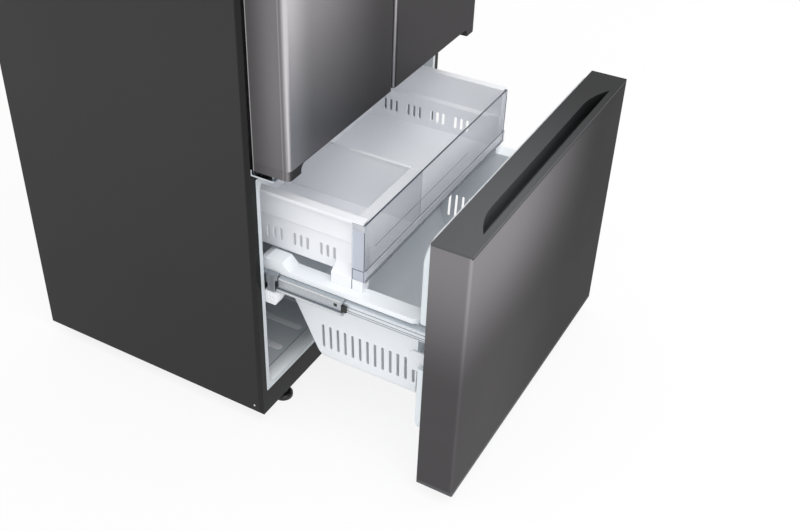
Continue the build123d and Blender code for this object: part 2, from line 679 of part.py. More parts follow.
def fan_shroud():
    """Upright plate with a round throat, and a motor on a strut behind the fan."""
    half = CONDENSER_DEPTH / 2 + COOLER_TUBE
    x0 = FAN_X - FAN_DEPTH / 2
    plate = block(x0, x0 + FAN_DEPTH, Y_MACHINE - half, Y_MACHINE + half, Z_MACHINE,
                  Z_MACHINE + CONDENSER_HEIGHT)
    plate -= bar_x(x0 - OVERCUT, x0 + FAN_DEPTH + OVERCUT, Y_MACHINE, Z_FAN, FAN_DIA + 4 * SLIP)
    motor_x = x0 + FAN_DEPTH + SLIP
    motor = bar_x(motor_x, motor_x + FAN_DEPTH, Y_MACHINE, Z_FAN, FAN_HUB)
    shaft = bar_x(x0, motor_x, Y_MACHINE, Z_FAN, ROLLER_PIN)
    strut = block(motor_x, motor_x + BASE_SHEET * 2, Y_MACHINE - half, Y_MACHINE + half,
                  Z_FAN - COOLER_TUBE / 2, Z_FAN + COOLER_TUBE / 2)
    legs = [block(x0 + FAN_DEPTH, motor_x + BASE_SHEET * 2, y0, y0 + COOLER_TUBE / 2,
                  Z_FAN - COOLER_TUBE / 2, Z_FAN + COOLER_TUBE / 2)
            for y0 in (Y_MACHINE - half, Y_MACHINE + half - COOLER_TUBE / 2)]
    return plate + motor + shaft + strut + legs[0] + legs[1]


def drain_pan():
    """Open pan that catches the melted frost."""
    x0 = DRAIN_X
    outer = block(x0, x0 + DRAIN_WIDTH, Y_MACHINE - CONDENSER_DEPTH / 2, Y_MACHINE + CONDENSER_DEPTH / 2,
                  Z_MACHINE, Z_MACHINE + DRAIN_HEIGHT)
    hollow = block(x0 + LINER, x0 + DRAIN_WIDTH - LINER, Y_MACHINE - CONDENSER_DEPTH / 2 + LINER,
                   Y_MACHINE + CONDENSER_DEPTH / 2 - LINER, Z_MACHINE + LINER,
                   Z_MACHINE + DRAIN_HEIGHT + OVERCUT)
    return outer - hollow


def inlet_box(grow, y0, y1):
    z = Z_MACHINE + INLET_RISE
    return block(INLET_X - INLET_WIDTH / 2 - grow, INLET_X + INLET_WIDTH / 2 + grow, y0, y1,
                 z - INLET_HEIGHT / 2 - grow, z + INLET_HEIGHT / 2 + grow)


def machine_cover():
    """Cover behind the machine bay, with rows of louvres and a hole for the power inlet."""
    half = HALF - SHEET - CLEAR
    cover = block(-half, half, Y_PANEL, Y_PANEL + SHEET, Z_BASE_TOP + CLEAR, Z_BAY)
    pitch_x = 2 * (half - LOUVRE_MARGIN) / LOUVRE_COLUMNS
    pitch_z = BAY_HEIGHT / (LOUVRE_ROWS + 2)
    for column in range(LOUVRE_COLUMNS):
        for row in range(LOUVRE_ROWS):
            x = -half + LOUVRE_MARGIN + (column + 0.5) * pitch_x
            z = Z_BASE_TOP + (row + 1.5) * pitch_z
            cover -= block(x - LOUVRE_WIDTH / 2, x + LOUVRE_WIDTH / 2, Y_PANEL - OVERCUT, Y_PANEL + OVERCUT,
                           z - LOUVRE_HEIGHT / 2, z + LOUVRE_HEIGHT / 2)
    return cover - inlet_box(CLEAR, Y_PANEL - OVERCUT, Y_PANEL + OVERCUT)


def power_inlet():
    """Appliance inlet with three blades in its well."""
    back = Y_PANEL + SHEET
    body = inlet_box(0, back - INLET_DEPTH, back)
    flange = inlet_box(INLET_WALL, Y_PANEL - LINER - CLEAR, Y_PANEL - CLEAR)
    well = inlet_box(-INLET_WALL, back - INLET_WELL, back + OVERCUT)
    inlet = body + flange - well
    wide, tall = INLET_BLADE
    z = Z_MACHINE + INLET_RISE
    for x in (INLET_X - INLET_BLADE_PITCH, INLET_X, INLET_X + INLET_BLADE_PITCH):
        inlet += block(x - wide / 2, x + wide / 2, back - INLET_WELL - wide,
                       back - INLET_WELL + INLET_BLADE_LENGTH, z - tall / 2, z + tall / 2)
    return inlet


# ---------------------------------------------------------------- freezer cooling

Z_COLD_FAN = Z_CEILING - COLD_FAN_DROP
COLD_FAN_Y = Y_COOLER + COOLER_BAY / 2


def evaporator():
    y0 = Y_REAR - CLEAR - EVAPORATOR_DEPTH
    return finned_coil(-EVAPORATOR_WIDTH / 2, EVAPORATOR_WIDTH / 2, y0, Y_REAR - CLEAR,
                       Z_BAY_WALL + CLEAR, Z_BAY_WALL + EVAPORATOR_HEIGHT, EVAPORATOR_FINS,
                       EVAPORATOR_ROWS)


def evaporator_cover():
    """White rear panel of the freezer, with air slots and the fan motor on its back."""
    half = FREEZER_HALF - CLEAR
    y1 = Y_COOLER + COOLER_COVER
    outline = rounded(-half, half, Z_BAY_WALL + CLEAR, Z_CEILING - CLEAR, FLANGE_ROUND)
    panel = front_prism(outline, Y_COOLER, y1)
    pitch = 2 * half / (VENT_COUNT + 1)
    for index in range(VENT_COUNT):
        x = -half + (index + 1) * pitch
        for z in (Z_BAY_WALL + VENT_WIDTH, Z_COLD_FAN):
            panel -= block(x - VENT_WIDTH / 2, x + VENT_WIDTH / 2, Y_COOLER - OVERCUT, y1 + OVERCUT,
                           z - VENT_HEIGHT / 2, z + VENT_HEIGHT / 2)
    motor_y = COLD_FAN_Y + FAN_DEPTH / 2 + SLIP
    motor = front_prism(Pos(0, Z_COLD_FAN) * Circle(FAN_HUB / 2), motor_y, Y_REAR - CLEAR)
    shaft = front_prism(Pos(0, Z_COLD_FAN) * Circle(ROLLER_PIN / 2), Y_COOLER + COOLER_COVER / 2, motor_y)
    return panel + motor + shaft


def evaporator_fan():
    return Pos(0, COLD_FAN_Y, Z_COLD_FAN) * Rot(90, 0, 0) * fan_blades(COLD_FAN_DIA, FAN_HUB, FAN_DEPTH)


# ---------------------------------------------------------------- drawer front

def folded_front(x0, x1, y0, y1, z0, z1, radius):
    """Solid with the two upright front corners rounded."""
    body = block(x0, x1, y0, y1, z0, z1)
    return fillet(body.edges().filter_by(Axis.Z).group_by(Axis.Y)[0], radius)


def skin(x0, x1, y0, y1, z0, z1, radius):
    """Folded steel skin: the face and both sides."""
    outer = folded_front(x0, x1, y0, y1, z0, z1, radius)
    hollow = folded_front(x0 + SHEET, x1 - SHEET, y0 + SHEET, y1 + OVERCUT, z0 - OVERCUT, z1 + OVERCUT,
                          radius - SHEET)
    return outer - hollow


def handle_outline(grow):
    """Plan of the handle pocket: straight edges, with ends that curve in from the back to a point."""
    front = Y_OPEN_FACE + POCKET_FRONT - grow
    back = Y_OPEN_FACE + POCKET_BACK + grow
    half = POCKET_HALF + 2 * grow
    run = half - POCKET_STRAIGHT
    rise = back - front
    radius = (run * run + rise * rise) / (2 * rise)
    turn = atan2(run, radius - rise) / 2
    middle = (POCKET_STRAIGHT + radius * sin(turn), back - radius + radius * cos(turn))
    ends = ThreePointArc((POCKET_STRAIGHT, back), middle, (half, front))
    mirrored = ThreePointArc((-half, front), (-middle[0], middle[1]), (-POCKET_STRAIGHT, back))
    straight = [Line((-POCKET_STRAIGHT, back), (POCKET_STRAIGHT, back)), Line((half, front), (-half, front))]
    return make_face([ends, mirrored] + straight)


def handle_room(grow):
    """Space of the handle pocket, with the finger room that hooks forward under the lip."""
    foot = Z_DRAWER_TOP - POCKET_DEPTH - grow
    well = plan_prism(handle_outline(grow), foot, Z_DRAWER_TOP + OVERCUT)
    y0 = Y_OPEN_FACE + POCKET_FRONT - POCKET_HOOK - grow
    hook = block(-POCKET_STRAIGHT - grow, POCKET_STRAIGHT + grow, y0, Y_OPEN_FACE + POCKET_BACK,
                 foot, Z_DRAWER_TOP - POCKET_LIP + grow)
    return well + hook


def drawer_top_cap():
    """Dark moulded cap over the drawer front, with the handle pocket as a tub below it."""
    top = Z_DRAWER_TOP
    edge = folded_front(-HALF, HALF, Y_OPEN_FACE, Y_OPEN_SEAL, top - TOP_CAP, top, PANEL_BEND)
    below = top - TOP_CAP - CLEAR
    tub = handle_room(POCKET_WALL) & block(-HALF, HALF, Y_OPEN_FACE, Y_OPEN_SEAL,
                                           below - POCKET_DEPTH, top)
    return edge + tub - handle_room(0)


def drawer_bottom_cap():
    """Dark moulded strip along the lower edge."""
    return folded_front(-HALF, HALF, Y_OPEN_FACE, Y_OPEN_SEAL, Z_DRAWER, Z_DRAWER + BOTTOM_CAP, PANEL_BEND)


def drawer_skin():
    return skin(-HALF, HALF, Y_OPEN_FACE, Y_OPEN_SEAL, Z_DRAWER + BOTTOM_CAP + CLEAR,
                Z_DRAWER_TOP - TOP_CAP - CLEAR, PANEL_BEND)


def seal_ring(x0, x1, z0, z1, y0):
    """Magnetic gasket: a closed rubber ring with round corners."""
    ring = rounded(x0, x1, z0, z1, GASKET_ROUND) - rounded(x0 + GASKET_WIDTH, x1 - GASKET_WIDTH,
                                                           z0 + GASKET_WIDTH, z1 - GASKET_WIDTH,
                                                           GASKET_ROUND - GASKET_WIDTH)
    return front_prism(ring, y0, y0 + SEAL_THICK)


def drawer_gasket():
    half = HALF - GASKET_IN
    return seal_ring(-half, half, Z_DRAWER + DRAWER_GASKET_FOOT, Z_DRAWER_TOP - DRAWER_GASKET_TOP,
                     Y_OPEN_SEAL)


def rail_pocket(sign):
    """Recess in the back of the drawer front for the rail ends."""
    x0 = HALF - RAIL_POCKET_IN - RAIL_POCKET_WIDTH
    pocket = block(x0, x0 + RAIL_POCKET_WIDTH, Y_OPEN_SEAL - RAIL_POCKET_DEPTH,
                   Y_OPEN_SEAL + DYKE_HIGH + OVERCUT, Z_DRAWER_TOP - RAIL_POCKET_DROP - RAIL_POCKET_HEIGHT,
                   Z_DRAWER_TOP - RAIL_POCKET_DROP)
    return pocket if sign > 0 else mirror(pocket, about=Plane.YZ)


def drawer_liner():
    """White inner panel with its foam: a filled slab with a raised dyke behind, and the rail pockets."""
    edge = HALF - SHEET - CLEAR
    slab = folded_front(-edge, edge, Y_OPEN_FACE + SHEET + CLEAR, Y_OPEN_SEAL,
                        Z_DRAWER + BOTTOM_CAP + CLEAR, Z_DRAWER_TOP - TOP_CAP - CLEAR, PANEL_BEND - SHEET)
    half = HALF - DYKE_IN
    low = Z_DRAWER + DYKE_FOOT
    high = Z_DRAWER_TOP - DYKE_TOP
    dyke = front_prism(rounded(-half, half, low, high, DYKE_ROUND), Y_OPEN_SEAL, Y_OPEN_SEAL + DYKE_HIGH)
    dyke = chamfer(dyke.edges().group_by(Axis.Y)[-1], DYKE_CHAMFER)
    inside = front_prism(rounded(-half + DYKE_WIDTH, half - DYKE_WIDTH, low + DYKE_WIDTH, high - DYKE_WIDTH,
                                 DYKE_ROUND - DYKE_WIDTH), Y_OPEN_SEAL, Y_OPEN_SEAL + DYKE_HIGH + OVERCUT)
    panel = slab + (dyke - inside) - handle_room(POCKET_WALL + CLEAR)
    return panel - rail_pocket(1) - rail_pocket(-1)


# ---------------------------------------------------------------- rails

Y_OUTER_RAIL = Y_CASE + SLIP
Y_MIDDLE_RAIL = Y_OPEN_SEAL + MIDDLE_SETBACK
Y_INNER_RAIL = Y_OPEN_SEAL - RAIL_POCKET_DEPTH + CLEAR
MIDDLE_OUT = FREEZER_HALF - RAIL_STEP
RACE = MIDDLE_RAIL_HEIGHT / 2 - RAIL_RIDGE


def outer_rail():
    """Fixed member: a channel on the liner wall whose lips reach over the middle member."""
    web_out = FREEZER_HALF - CLEAR
    tall = OUTER_RAIL_HEIGHT / 2
    y1 = Y_OUTER_RAIL + OUTER_RAIL_LENGTH
    rail = block(web_out - RAIL_WEB, web_out, Y_OUTER_RAIL, y1, Z_RAIL - tall, Z_RAIL + tall)
    lip = tall - MIDDLE_RAIL_HEIGHT / 2 - CLEAR
    for z0 in (Z_RAIL + tall - lip, Z_RAIL - tall):
        rail += block(web_out - OUTER_RAIL_DEPTH, web_out, Y_OUTER_RAIL, y1, z0, z0 + lip)
    return rail


def middle_rail():
    """Middle member: a web with a ball race along each edge and a square stop hole near its front end."""
    inner = MIDDLE_OUT - MIDDLE_RAIL_DEPTH
    tall = MIDDLE_RAIL_HEIGHT / 2
    y1 = Y_MIDDLE_RAIL + MIDDLE_RAIL_LENGTH
    web = MIDDLE_OUT - RAIL_RIDGE + RAIL_WEB
    rail = block(web - RAIL_WEB, web, Y_MIDDLE_RAIL, y1, Z_RAIL - tall, Z_RAIL + tall)
    for z0 in (Z_RAIL + tall - RAIL_RIDGE, Z_RAIL - tall):
        rail += block(inner, MIDDLE_OUT, Y_MIDDLE_RAIL, y1, z0, z0 + RAIL_RIDGE)
    rail -= block(web - OVERCUT, web + OVERCUT, Y_MIDDLE_RAIL + 2 * BUMPER, Y_MIDDLE_RAIL + 3 * BUMPER,
                  Z_RAIL - BUMPER / 2, Z_RAIL + BUMPER / 2)
    return rail


def rail_bumper():
    """Black stop in the front end of the middle member."""
    web = MIDDLE_OUT - RAIL_RIDGE + RAIL_WEB
    return block(web + CLEAR, MIDDLE_OUT, Y_MIDDLE_RAIL - BUMPER, Y_MIDDLE_RAIL + BUMPER / 2,
                 Z_RAIL - BUMPER, Z_RAIL + BUMPER)


def inner_rail():
    """Inner member: a channel between the races, running from the drawer front back under the basket rim."""
    web = MIDDLE_OUT - RAIL_RIDGE - CLEAR
    inner = web - INNER_RAIL_DEPTH + RAIL_WEB
    tall = RACE - CLEAR
    y1 = Y_INNER_RAIL + INNER_RAIL_LENGTH
    rail = block(web - RAIL_WEB, web, Y_INNER_RAIL, y1, Z_RAIL - tall, Z_RAIL + tall)
    for z0 in (Z_RAIL + tall - RAIL_WEB, Z_RAIL - tall):
        rail += block(inner, web, Y_INNER_RAIL, y1, z0, z0 + RAIL_WEB)
    hanger_top = Z_BASKET - BASKET_WALL - CLEAR
    for y0 in (Y_OPEN_SEAL + BASKET_SETBACK + BASKET_RIM_FRONT, y1 - BRACKET_STEM):
        rail += block(inner, inner + RAIL_WEB, y0, y0 + BRACKET_STEM, Z_RAIL + tall - RAIL_WEB, hanger_top)
    return rail


def rail_bracket():
    """T-shaped steel bracket at the mouth of the outer member, with its head folded inwards."""
    x1 = FREEZER_HALF - BRACKET_IN
    x0 = x1 - BRACKET_THICK
    top = Z_RAIL + MIDDLE_RAIL_HEIGHT / 2 + SLIP + BRACKET_THICK
    y1 = Y_OUTER_RAIL - CLEAR
    y0 = y1 - BRACKET_REACH
    stem_y = (y0 + y1) / 2
    foot = Z_RAIL - MIDDLE_RAIL_HEIGHT / 2 - SLIP
    head = block(x0, x1, y0, y1, top - BRACKET_HEAD, top)
    stem = block(x0, x1, stem_y - BRACKET_STEM / 2, stem_y + BRACKET_STEM / 2, foot, top)
    fold = block(x0 - BRACKET_HEAD, x1, y0, y1, top - BRACKET_THICK, top)
    tie = block(x0, x1, stem_y, y1, Z_RAIL, top)
    return head + stem + fold + tie


def rail_cap():
    """White ribbed cap under the bracket, with a cut lower corner."""
    x1 = FREEZER_HALF - SLIP
    x0 = x1 - CAP_WIDTH
    top = Z_RAIL - MIDDLE_RAIL_HEIGHT / 2 - SLIP - CLEAR
    low = top - CAP_HEIGHT
    y1 = Y_OUTER_RAIL - CLEAR
    y0 = Y_CASE - CAP_REACH
    outline = [(y0, top), (y1, top), (y1, low), (y0 + CAP_CHAMFER / 2, low), (y0, low + CAP_CHAMFER)]
    cap = side_prism(outline, x0, x1)
    for row in range(CAP_CELL_ROWS):
        for column in range(CAP_CELL_COLUMNS):
            y = y1 - CAP_CELL_IN - column * CAP_CELL_PITCH
            z = top - CAP_CELL_IN - row * CAP_CELL_PITCH
            cap -= block(x0 - OVERCUT, x0 + LINER, y - CAP_CELL, y, z - CAP_CELL, z)
    return cap


# ---------------------------------------------------------------- basket

Y_BASKET = Y_OPEN_SEAL + BASKET_SETBACK
Y_BASKET_IN = Y_BASKET + BASKET_RIM_FRONT
Y_BASKET_END = Y_BASKET_IN + BASKET_LENGTH
BASKET_IN_HALF = BASKET_HALF - BASKET_RIM_SIDE


def basket_half(z, grow):
    """Half width of the basket's space at a height, between its leaning sides."""
    lean = BASKET_FLOOR_IN * (Z_BASKET - z) / BASKET_DEPTH
    return BASKET_IN_HALF + grow - lean


def tub_section(low, high, grow):
    """Tub seen from the front: leaning sides and round lower corners."""
    corner = BASKET_FLOOR_ROUND + grow
    bow = BASKET_FLOOR_SAG * corner / BASKET_FLOOR_ROUND
    foot = basket_half(low, grow) - corner
    side = basket_half(low + corner, grow)
    top = basket_half(high, grow)
    return make_face([Line((-foot, low), (foot, low)),
                      SagittaArc((foot, low), (side, low + corner), -bow),
                      Line((side, low + corner), (top, high)),
                      Line((top, high), (-top, high)),
                      Line((-top, high), (-side, low + corner)),
                      SagittaArc((-side, low + corner), (-foot, low), -bow)])


def basket_room(grow):
    """Space of the basket: a tub with leaning sides, a sloped rear wall and a rounded heel."""
    high = Z_BASKET + OVERCUT
    low = Z_BASKET - BASKET_DEPTH - grow
    rear = Y_BASKET_END + grow
    shoulder = (rear - BASKET_SHOULDER[0], Z_BASKET - BASKET_SHOULDER[1])
    slope = BASKET_BACK_RUN / (BASKET_DEPTH - BASKET_SHOULDER[1])
    heel = (shoulder[0] - slope * (shoulder[1] - low), low)
    toe = (Y_BASKET_IN + BASKET_FRONT_LEAN - grow, low)
    outline = make_face(Polyline((Y_BASKET_IN - grow, high), toe, heel, shoulder, (rear, high), close=True))
    heel_corner = outline.vertices().group_by(Axis.Y)[0].sort_by(Axis.X)[-1]
    outline = fillet(heel_corner, BASKET_HEEL_ROUND + grow)
    side = extrude(Plane.YZ * outline, amount=BASKET_HALF, both=True)
    section = tub_section(low, high, grow)
    return side & front_prism(section, Y_BASKET - OVERCUT, Y_BASKET_END + BASKET_RIM_REAR)


def side_slot(y, z0, z1, width):
    """Upright slot, cut right across."""
    return block(-BASKET_HALF, BASKET_HALF, y - width / 2, y + width / 2, z0, z1)


def basket():
    """Deep moulded basket: sloped rear, slotted sides and rear, and a broad rim with a hump each side."""
    rim_top = Z_BASKET
    outer_y1 = Y_BASKET_END + BASKET_RIM_REAR
    plate = plan_prism(rounded(-BASKET_HALF, BASKET_HALF, Y_BASKET, outer_y1, BASKET_RIM_FRONT),
                       rim_top - BASKET_WALL, rim_top)
    lip = plan_prism(rounded(-BASKET_HALF, BASKET_HALF, Y_BASKET, outer_y1, BASKET_RIM_FRONT)
                     - rounded(-BASKET_HALF + BASKET_WALL, BASKET_HALF - BASKET_WALL, Y_BASKET + BASKET_WALL,
                               outer_y1 - BASKET_WALL, BASKET_RIM_FRONT - BASKET_WALL),
                     rim_top - BASKET_RIM_LIP, rim_top)
    trim = block(-BASKET_HALF, BASKET_HALF, Y_BASKET, outer_y1, Z_BASKET - 2 * BASKET_DEPTH, rim_top)
    shell = (basket_room(BASKET_WALL) & trim) + plate + lip
    y1 = Y_BASKET_END - HUMP_IN + HUMP_LENGTH / 2
    y0 = y1 - HUMP_LENGTH
    outline = [(y0 - HUMP_HEIGHT, rim_top), (y0, rim_top + HUMP_HEIGHT), (y1, rim_top + HUMP_HEIGHT),
               (y1 + HUMP_RUN, rim_top)]
    for hump in both_sides(side_prism(outline, BASKET_IN_HALF, BASKET_HALF)):
        shell += hump
    shell -= basket_room(0)
    for index in range(SLOT_COUNT):
        y = Y_BASKET_IN + SLOT_SETBACK + index * SLOT_PITCH
        shell -= side_slot(y, rim_top - SLOT_DROP - SLOT_HEIGHT, rim_top - SLOT_DROP, SLOT_WIDTH)
    first = -(REAR_SLOT_COUNT - 1) * REAR_SLOT_PITCH / 2
    top = rim_top - REAR_SLOT_DROP
    y0 = Y_BASKET_END - BASKET_SHOULDER[0] - BASKET_BACK_RUN
    for index in range(REAR_SLOT_COUNT):
        x = first + index * REAR_SLOT_PITCH
        shell -= block(x - SLOT_WIDTH / 2, x + SLOT_WIDTH / 2, y0, outer_y1, top - REAR_SLOT_HEIGHT, top)
    return shell


def basket_clip():
    """White clip on the leaning side of the basket, behind the dyke of the drawer front."""
    high = Z_BASKET - CLIP_DROP
    low = high - CLIP_HEIGHT
    y0 = Y_OPEN_SEAL + DYKE_HIGH + CLEAR
    inner = [(basket_half(high, BASKET_WALL) + CLEAR, high), (basket_half(low, BASKET_WALL) + CLEAR, low)]
    outer = [(inner[1][0] + CLIP_THICK, low), (inner[0][0] + CLIP_THICK, high)]
    clip = front_prism(make_face(Polyline(*inner, *outer, close=True)), y0, y0 + CLIP_LENGTH)
    return chamfer(clip.edges().filter_by(Axis.X).group_by(Axis.Y)[-1], CLIP_CHAMFER)


# ---------------------------------------------------------------- tray

Y_TRAY = Y_OPEN_SEAL + TRAY_SETBACK
Y_TRAY_END = Y_TRAY + TRAY_LENGTH
Y_TRAY_BODY = Y_TRAY + CLEAR_THICK + CLEAR
TRAY_IN_HALF = TRAY_HALF - TRAY_RIM
Z_EAR = Z_TRAY - TRAY_EAR_DROP


def tray_side():
    """Right-hand wall of the tray: rim with a turned-down lip, a fold, and the lower wall set in."""
    wall = TRAY_WALL
    x = TRAY_IN_HALF
    low_x = x - TRAY_FOLD_IN
    fold = Z_TRAY - TRAY_FOLD
    low = Z_TRAY - TRAY_DEPTH
    outline = [(x, Z_TRAY), (TRAY_HALF, Z_TRAY), (TRAY_HALF, Z_TRAY - TRAY_RIM_LIP),
               (TRAY_HALF - wall, Z_TRAY - TRAY_RIM_LIP), (TRAY_HALF - wall, Z_TRAY - wall),
               (x + wall, Z_TRAY - wall), (x + wall, fold), (low_x + wall, fold - TRAY_FOLD_IN),
               (low_x + wall, low), (low_x, low), (low_x, fold - TRAY_FOLD_IN), (x, fold)]
    return front_prism(make_face(Polyline(*outline, close=True)), Y_TRAY_BODY, Y_TRAY_END)


def tray_shoe():
    """Shoe under the right-hand wall, near the front, that slides on the basket rim."""
    inner = TRAY_IN_HALF - TRAY_FOLD_IN
    foot = Z_BASKET + CLEAR
    top = foot + TRAY_SHOE_HEIGHT
    outline = make_face(Polyline((inner, foot), (TRAY_HALF, foot), (TRAY_HALF, top),
                                 (inner, top + TRAY_SHOE_SLOPE), close=True))
    shoe = front_prism(outline, Y_TRAY_BODY, Y_TRAY + TRAY_SHOE)
    corner = block(TRAY_HALF - CLEAR_THICK - CLEAR, TRAY_HALF + OVERCUT, Y_TRAY, Y_TRAY + CLEAR_RETURN + CLEAR,
                   Z_TRAY - CLEAR_SKIRT - CLEAR, Z_TRAY)
    return shoe - corner


def tray_body():
    """White tray: two folded sides, floor, low rear wall, front posts, and an ear each side at the rear."""
    floor_half = TRAY_IN_HALF - TRAY_FOLD_IN + TRAY_WALL
    low = Z_TRAY - TRAY_DEPTH
    side = tray_side()
    for group in range(TRAY_GROUPS):
        for index in range(TRAY_SLOTS):
            y = Y_TRAY_BODY + TRAY_SLOT_SETBACK + group * TRAY_GROUP_PITCH + index * TRAY_SLOT_PITCH
            side -= side_slot(y, Z_TRAY - TRAY_SLOT_DROP - TRAY_SLOT_HEIGHT, Z_TRAY - TRAY_SLOT_DROP,
                              TRAY_SLOT_WIDTH)
    post_x = TRAY_HALF - CLEAR_THICK - CLEAR
    post_y = Y_TRAY + TRAY_POST
    post = block(TRAY_IN_HALF - TRAY_FOLD_IN, post_x, Y_TRAY_BODY, post_y, Z_TRAY - TRAY_POST_DROP,
                 Z_TRAY - TRAY_RIM_LIP)
    post -= block(TRAY_IN_HALF - TRAY_FOLD_IN - OVERCUT, TRAY_IN_HALF, Y_TRAY_BODY - OVERCUT, post_y,
                  Z_TRAY - TRAY_FOLD, Z_TRAY)
    rim_cut = block(post_x, TRAY_HALF + OVERCUT, Y_TRAY, Y_TRAY + CLEAR_RETURN + CLEAR,
                    Z_TRAY - TRAY_DEPTH, Z_TRAY - CLEAR_TOP_DROP + CLEAR)
    ear = block(TRAY_IN_HALF + TRAY_WALL, FREEZER_HALF - SLIP - RUNNER_WALL, Y_TRAY_END - TRAY_EAR_LENGTH,
                Y_TRAY_END, Z_EAR - TRAY_EAR_HEIGHT / 2, Z_EAR + TRAY_EAR_HEIGHT / 2)
    half_body = side + post - rim_cut + ear + tray_shoe()
    body = block(-floor_half, floor_half, Y_TRAY_BODY, Y_TRAY_END, low - TRAY_WALL, low)
    for piece in both_sides(half_body):
        body += piece
    body += block(-floor_half, floor_half, Y_TRAY_END - TRAY_WALL, Y_TRAY_END, low,
                  Z_TRAY - TRAY_FOLD - TRAY_FOLD_IN)
    body += block(-TRAY_IN_HALF, TRAY_IN_HALF, Y_TRAY_END - TRAY_WALL, Y_TRAY_END,
                  Z_TRAY - TRAY_FOLD - TRAY_FOLD_IN, Z_TRAY - TRAY_REAR_DROP)
    return body + block(-floor_half, floor_half, Y_TRAY_BODY, Y_TRAY_BODY + TRAY_WALL, low, low + TRAY_BAND)


def tray_front():
    """Clear front of the tray: a pane with side returns, stepped out a little near its foot."""
    top = Z_TRAY - CLEAR_TOP_DROP
    low = Z_TRAY - CLEAR_SKIRT
    step = Z_TRAY - CLEAR_STEP
    pane = block(-TRAY_HALF, TRAY_HALF, Y_TRAY, Y_TRAY + CLEAR_THICK, low, top)
    pane += block(-TRAY_HALF, TRAY_HALF, Y_TRAY - CLEAR_STEP_OUT, Y_TRAY, low, step)
    side = block(TRAY_HALF - CLEAR_THICK, TRAY_HALF, Y_TRAY, Y_TRAY + CLEAR_RETURN, low, top)
    for piece in both_sides(side):
        pane += piece
    return pane


def tray_divider():
    """Upright divider from front to back, with a thicker top bead."""
    y0 = Y_TRAY_BODY + TRAY_WALL + CLEAR
    y1 = Y_TRAY_END - TRAY_WALL - CLEAR
    x0 = TRAY_DIVIDER_X - TRAY_DIVIDER_THICK / 2
    top = Z_TRAY - TRAY_DIVIDER_DROP
    plate = block(x0, x0 + TRAY_DIVIDER_THICK, y0, y1, Z_TRAY - TRAY_DEPTH + CLEAR, top)
    bead = block(TRAY_DIVIDER_X - TRAY_BEAD / 2, TRAY_DIVIDER_X + TRAY_BEAD / 2, y0, y1,
                 top - TRAY_BEAD_HEIGHT, top)
    return plate + bead


def tray_runner():
    """Channel on the freezer wall that holds the tray's rear ear."""
    x1 = FREEZER_HALF - CLEAR
    x0 = x1 - RUNNER_DEPTH
    y0 = Y_CASE + RUNNER_SETBACK
    y1 = y0 + RUNNER_LENGTH
    half = TRAY_EAR_HEIGHT / 2 + CLEAR
    tall = half + RUNNER_WALL
    channel = block(x1 - RUNNER_WALL + CLEAR, x1, y0, y1, Z_EAR - tall, Z_EAR + tall)
    for z0 in (Z_EAR - tall, Z_EAR + half):
        channel += block(x0, x1, y0, y1, z0, z0 + RUNNER_WALL)
    return channel


# ---------------------------------------------------------------- doors (drawn on the left, mirrored)

DOOR_X0 = -HALF
DOOR_X1 = -DOORS_APART / 2
Z_SKIN = Z_DOOR + DOOR_CAP
Z_SKIN_TOP = Z_DOOR_TOP - DOOR_TOP_CAP


def door_skin():
    return skin(DOOR_X0, DOOR_X1, Y_FACE, Y_SEAL, Z_SKIN, Z_SKIN_TOP, DOOR_BEND)


def door_bottom_cap():
    """Dark end cap with a finger pocket in front, and the bore for the centre hinge pin."""
    cap = folded_front(DOOR_X0, DOOR_X1, Y_FACE, Y_SEAL, Z_DOOR, Z_SKIN - CLEAR, DOOR_BEND)
    roof = Z_DOOR + DOOR_CAP - BASE_SHEET
    pocket = block(DOOR_X0 + DOOR_CAP_END, OVERCUT, Y_FACE - OVERCUT, Y_FACE + DOOR_POCKET,
                   Z_DOOR - OVERCUT, roof)
    end_edge = pocket.edges().filter_by(Axis.Y).group_by(Axis.Z)[-1].sort_by(Axis.X)[0]
    cap -= fillet(end_edge, DOOR_POCKET_ROUND)
    return cap - pin(-X_PIVOT, Y_PIVOT, Z_DOOR - OVERCUT, Z_DOOR - HINGE_DROP + HINGE_PIN_LENGTH + CLEAR,
                     HINGE_PIN + 2 * CLEAR)


def door_top_cap():
    """Dark upper cap with the bore for the top hinge pin."""
    cap = folded_front(DOOR_X0, DOOR_X1, Y_FACE, Y_SEAL, Z_SKIN_TOP + CLEAR, Z_DOOR_TOP, DOOR_BEND)
    return cap - pin(-X_PIVOT, Y_PIVOT, Z_TOP - HINGE_PIN_LENGTH - CLEAR, Z_TOP, HINGE_PIN + 2 * CLEAR)


def door_liner():
    """White inner door with its foam, and two upright dykes that hold the bins."""
    slab = folded_front(DOOR_X0 + SHEET + CLEAR, DOOR_X1 - SHEET - CLEAR, Y_FACE + SHEET + CLEAR, Y_SEAL,
                        Z_SKIN, Z_SKIN_TOP, DOOR_BEND - SHEET)
    low = Z_FRIDGE + FLANGE_ROUND
    high = Z_FRIDGE_TOP - FLANGE_ROUND
    out = DOOR_X0 + DOOR_DYKE_OUT
    inner = -DOOR_DYKE_CENTRE - DOOR_DYKE_WIDTH
    for x0 in (out, inner):
        slab += block(x0, x0 + DOOR_DYKE_WIDTH, Y_SEAL, Y_SEAL + DOOR_DYKE_HIGH, low, high)
    return slab


def door_gasket():
    return seal_ring(DOOR_X0 + DOOR_GASKET_IN, DOOR_X1 - DOOR_GASKET_CENTRE, Z_DOOR + DOOR_GASKET_RISE,
                     Z_DOOR_TOP - DOOR_GASKET_RISE - CASE_BAND, Y_SEAL)


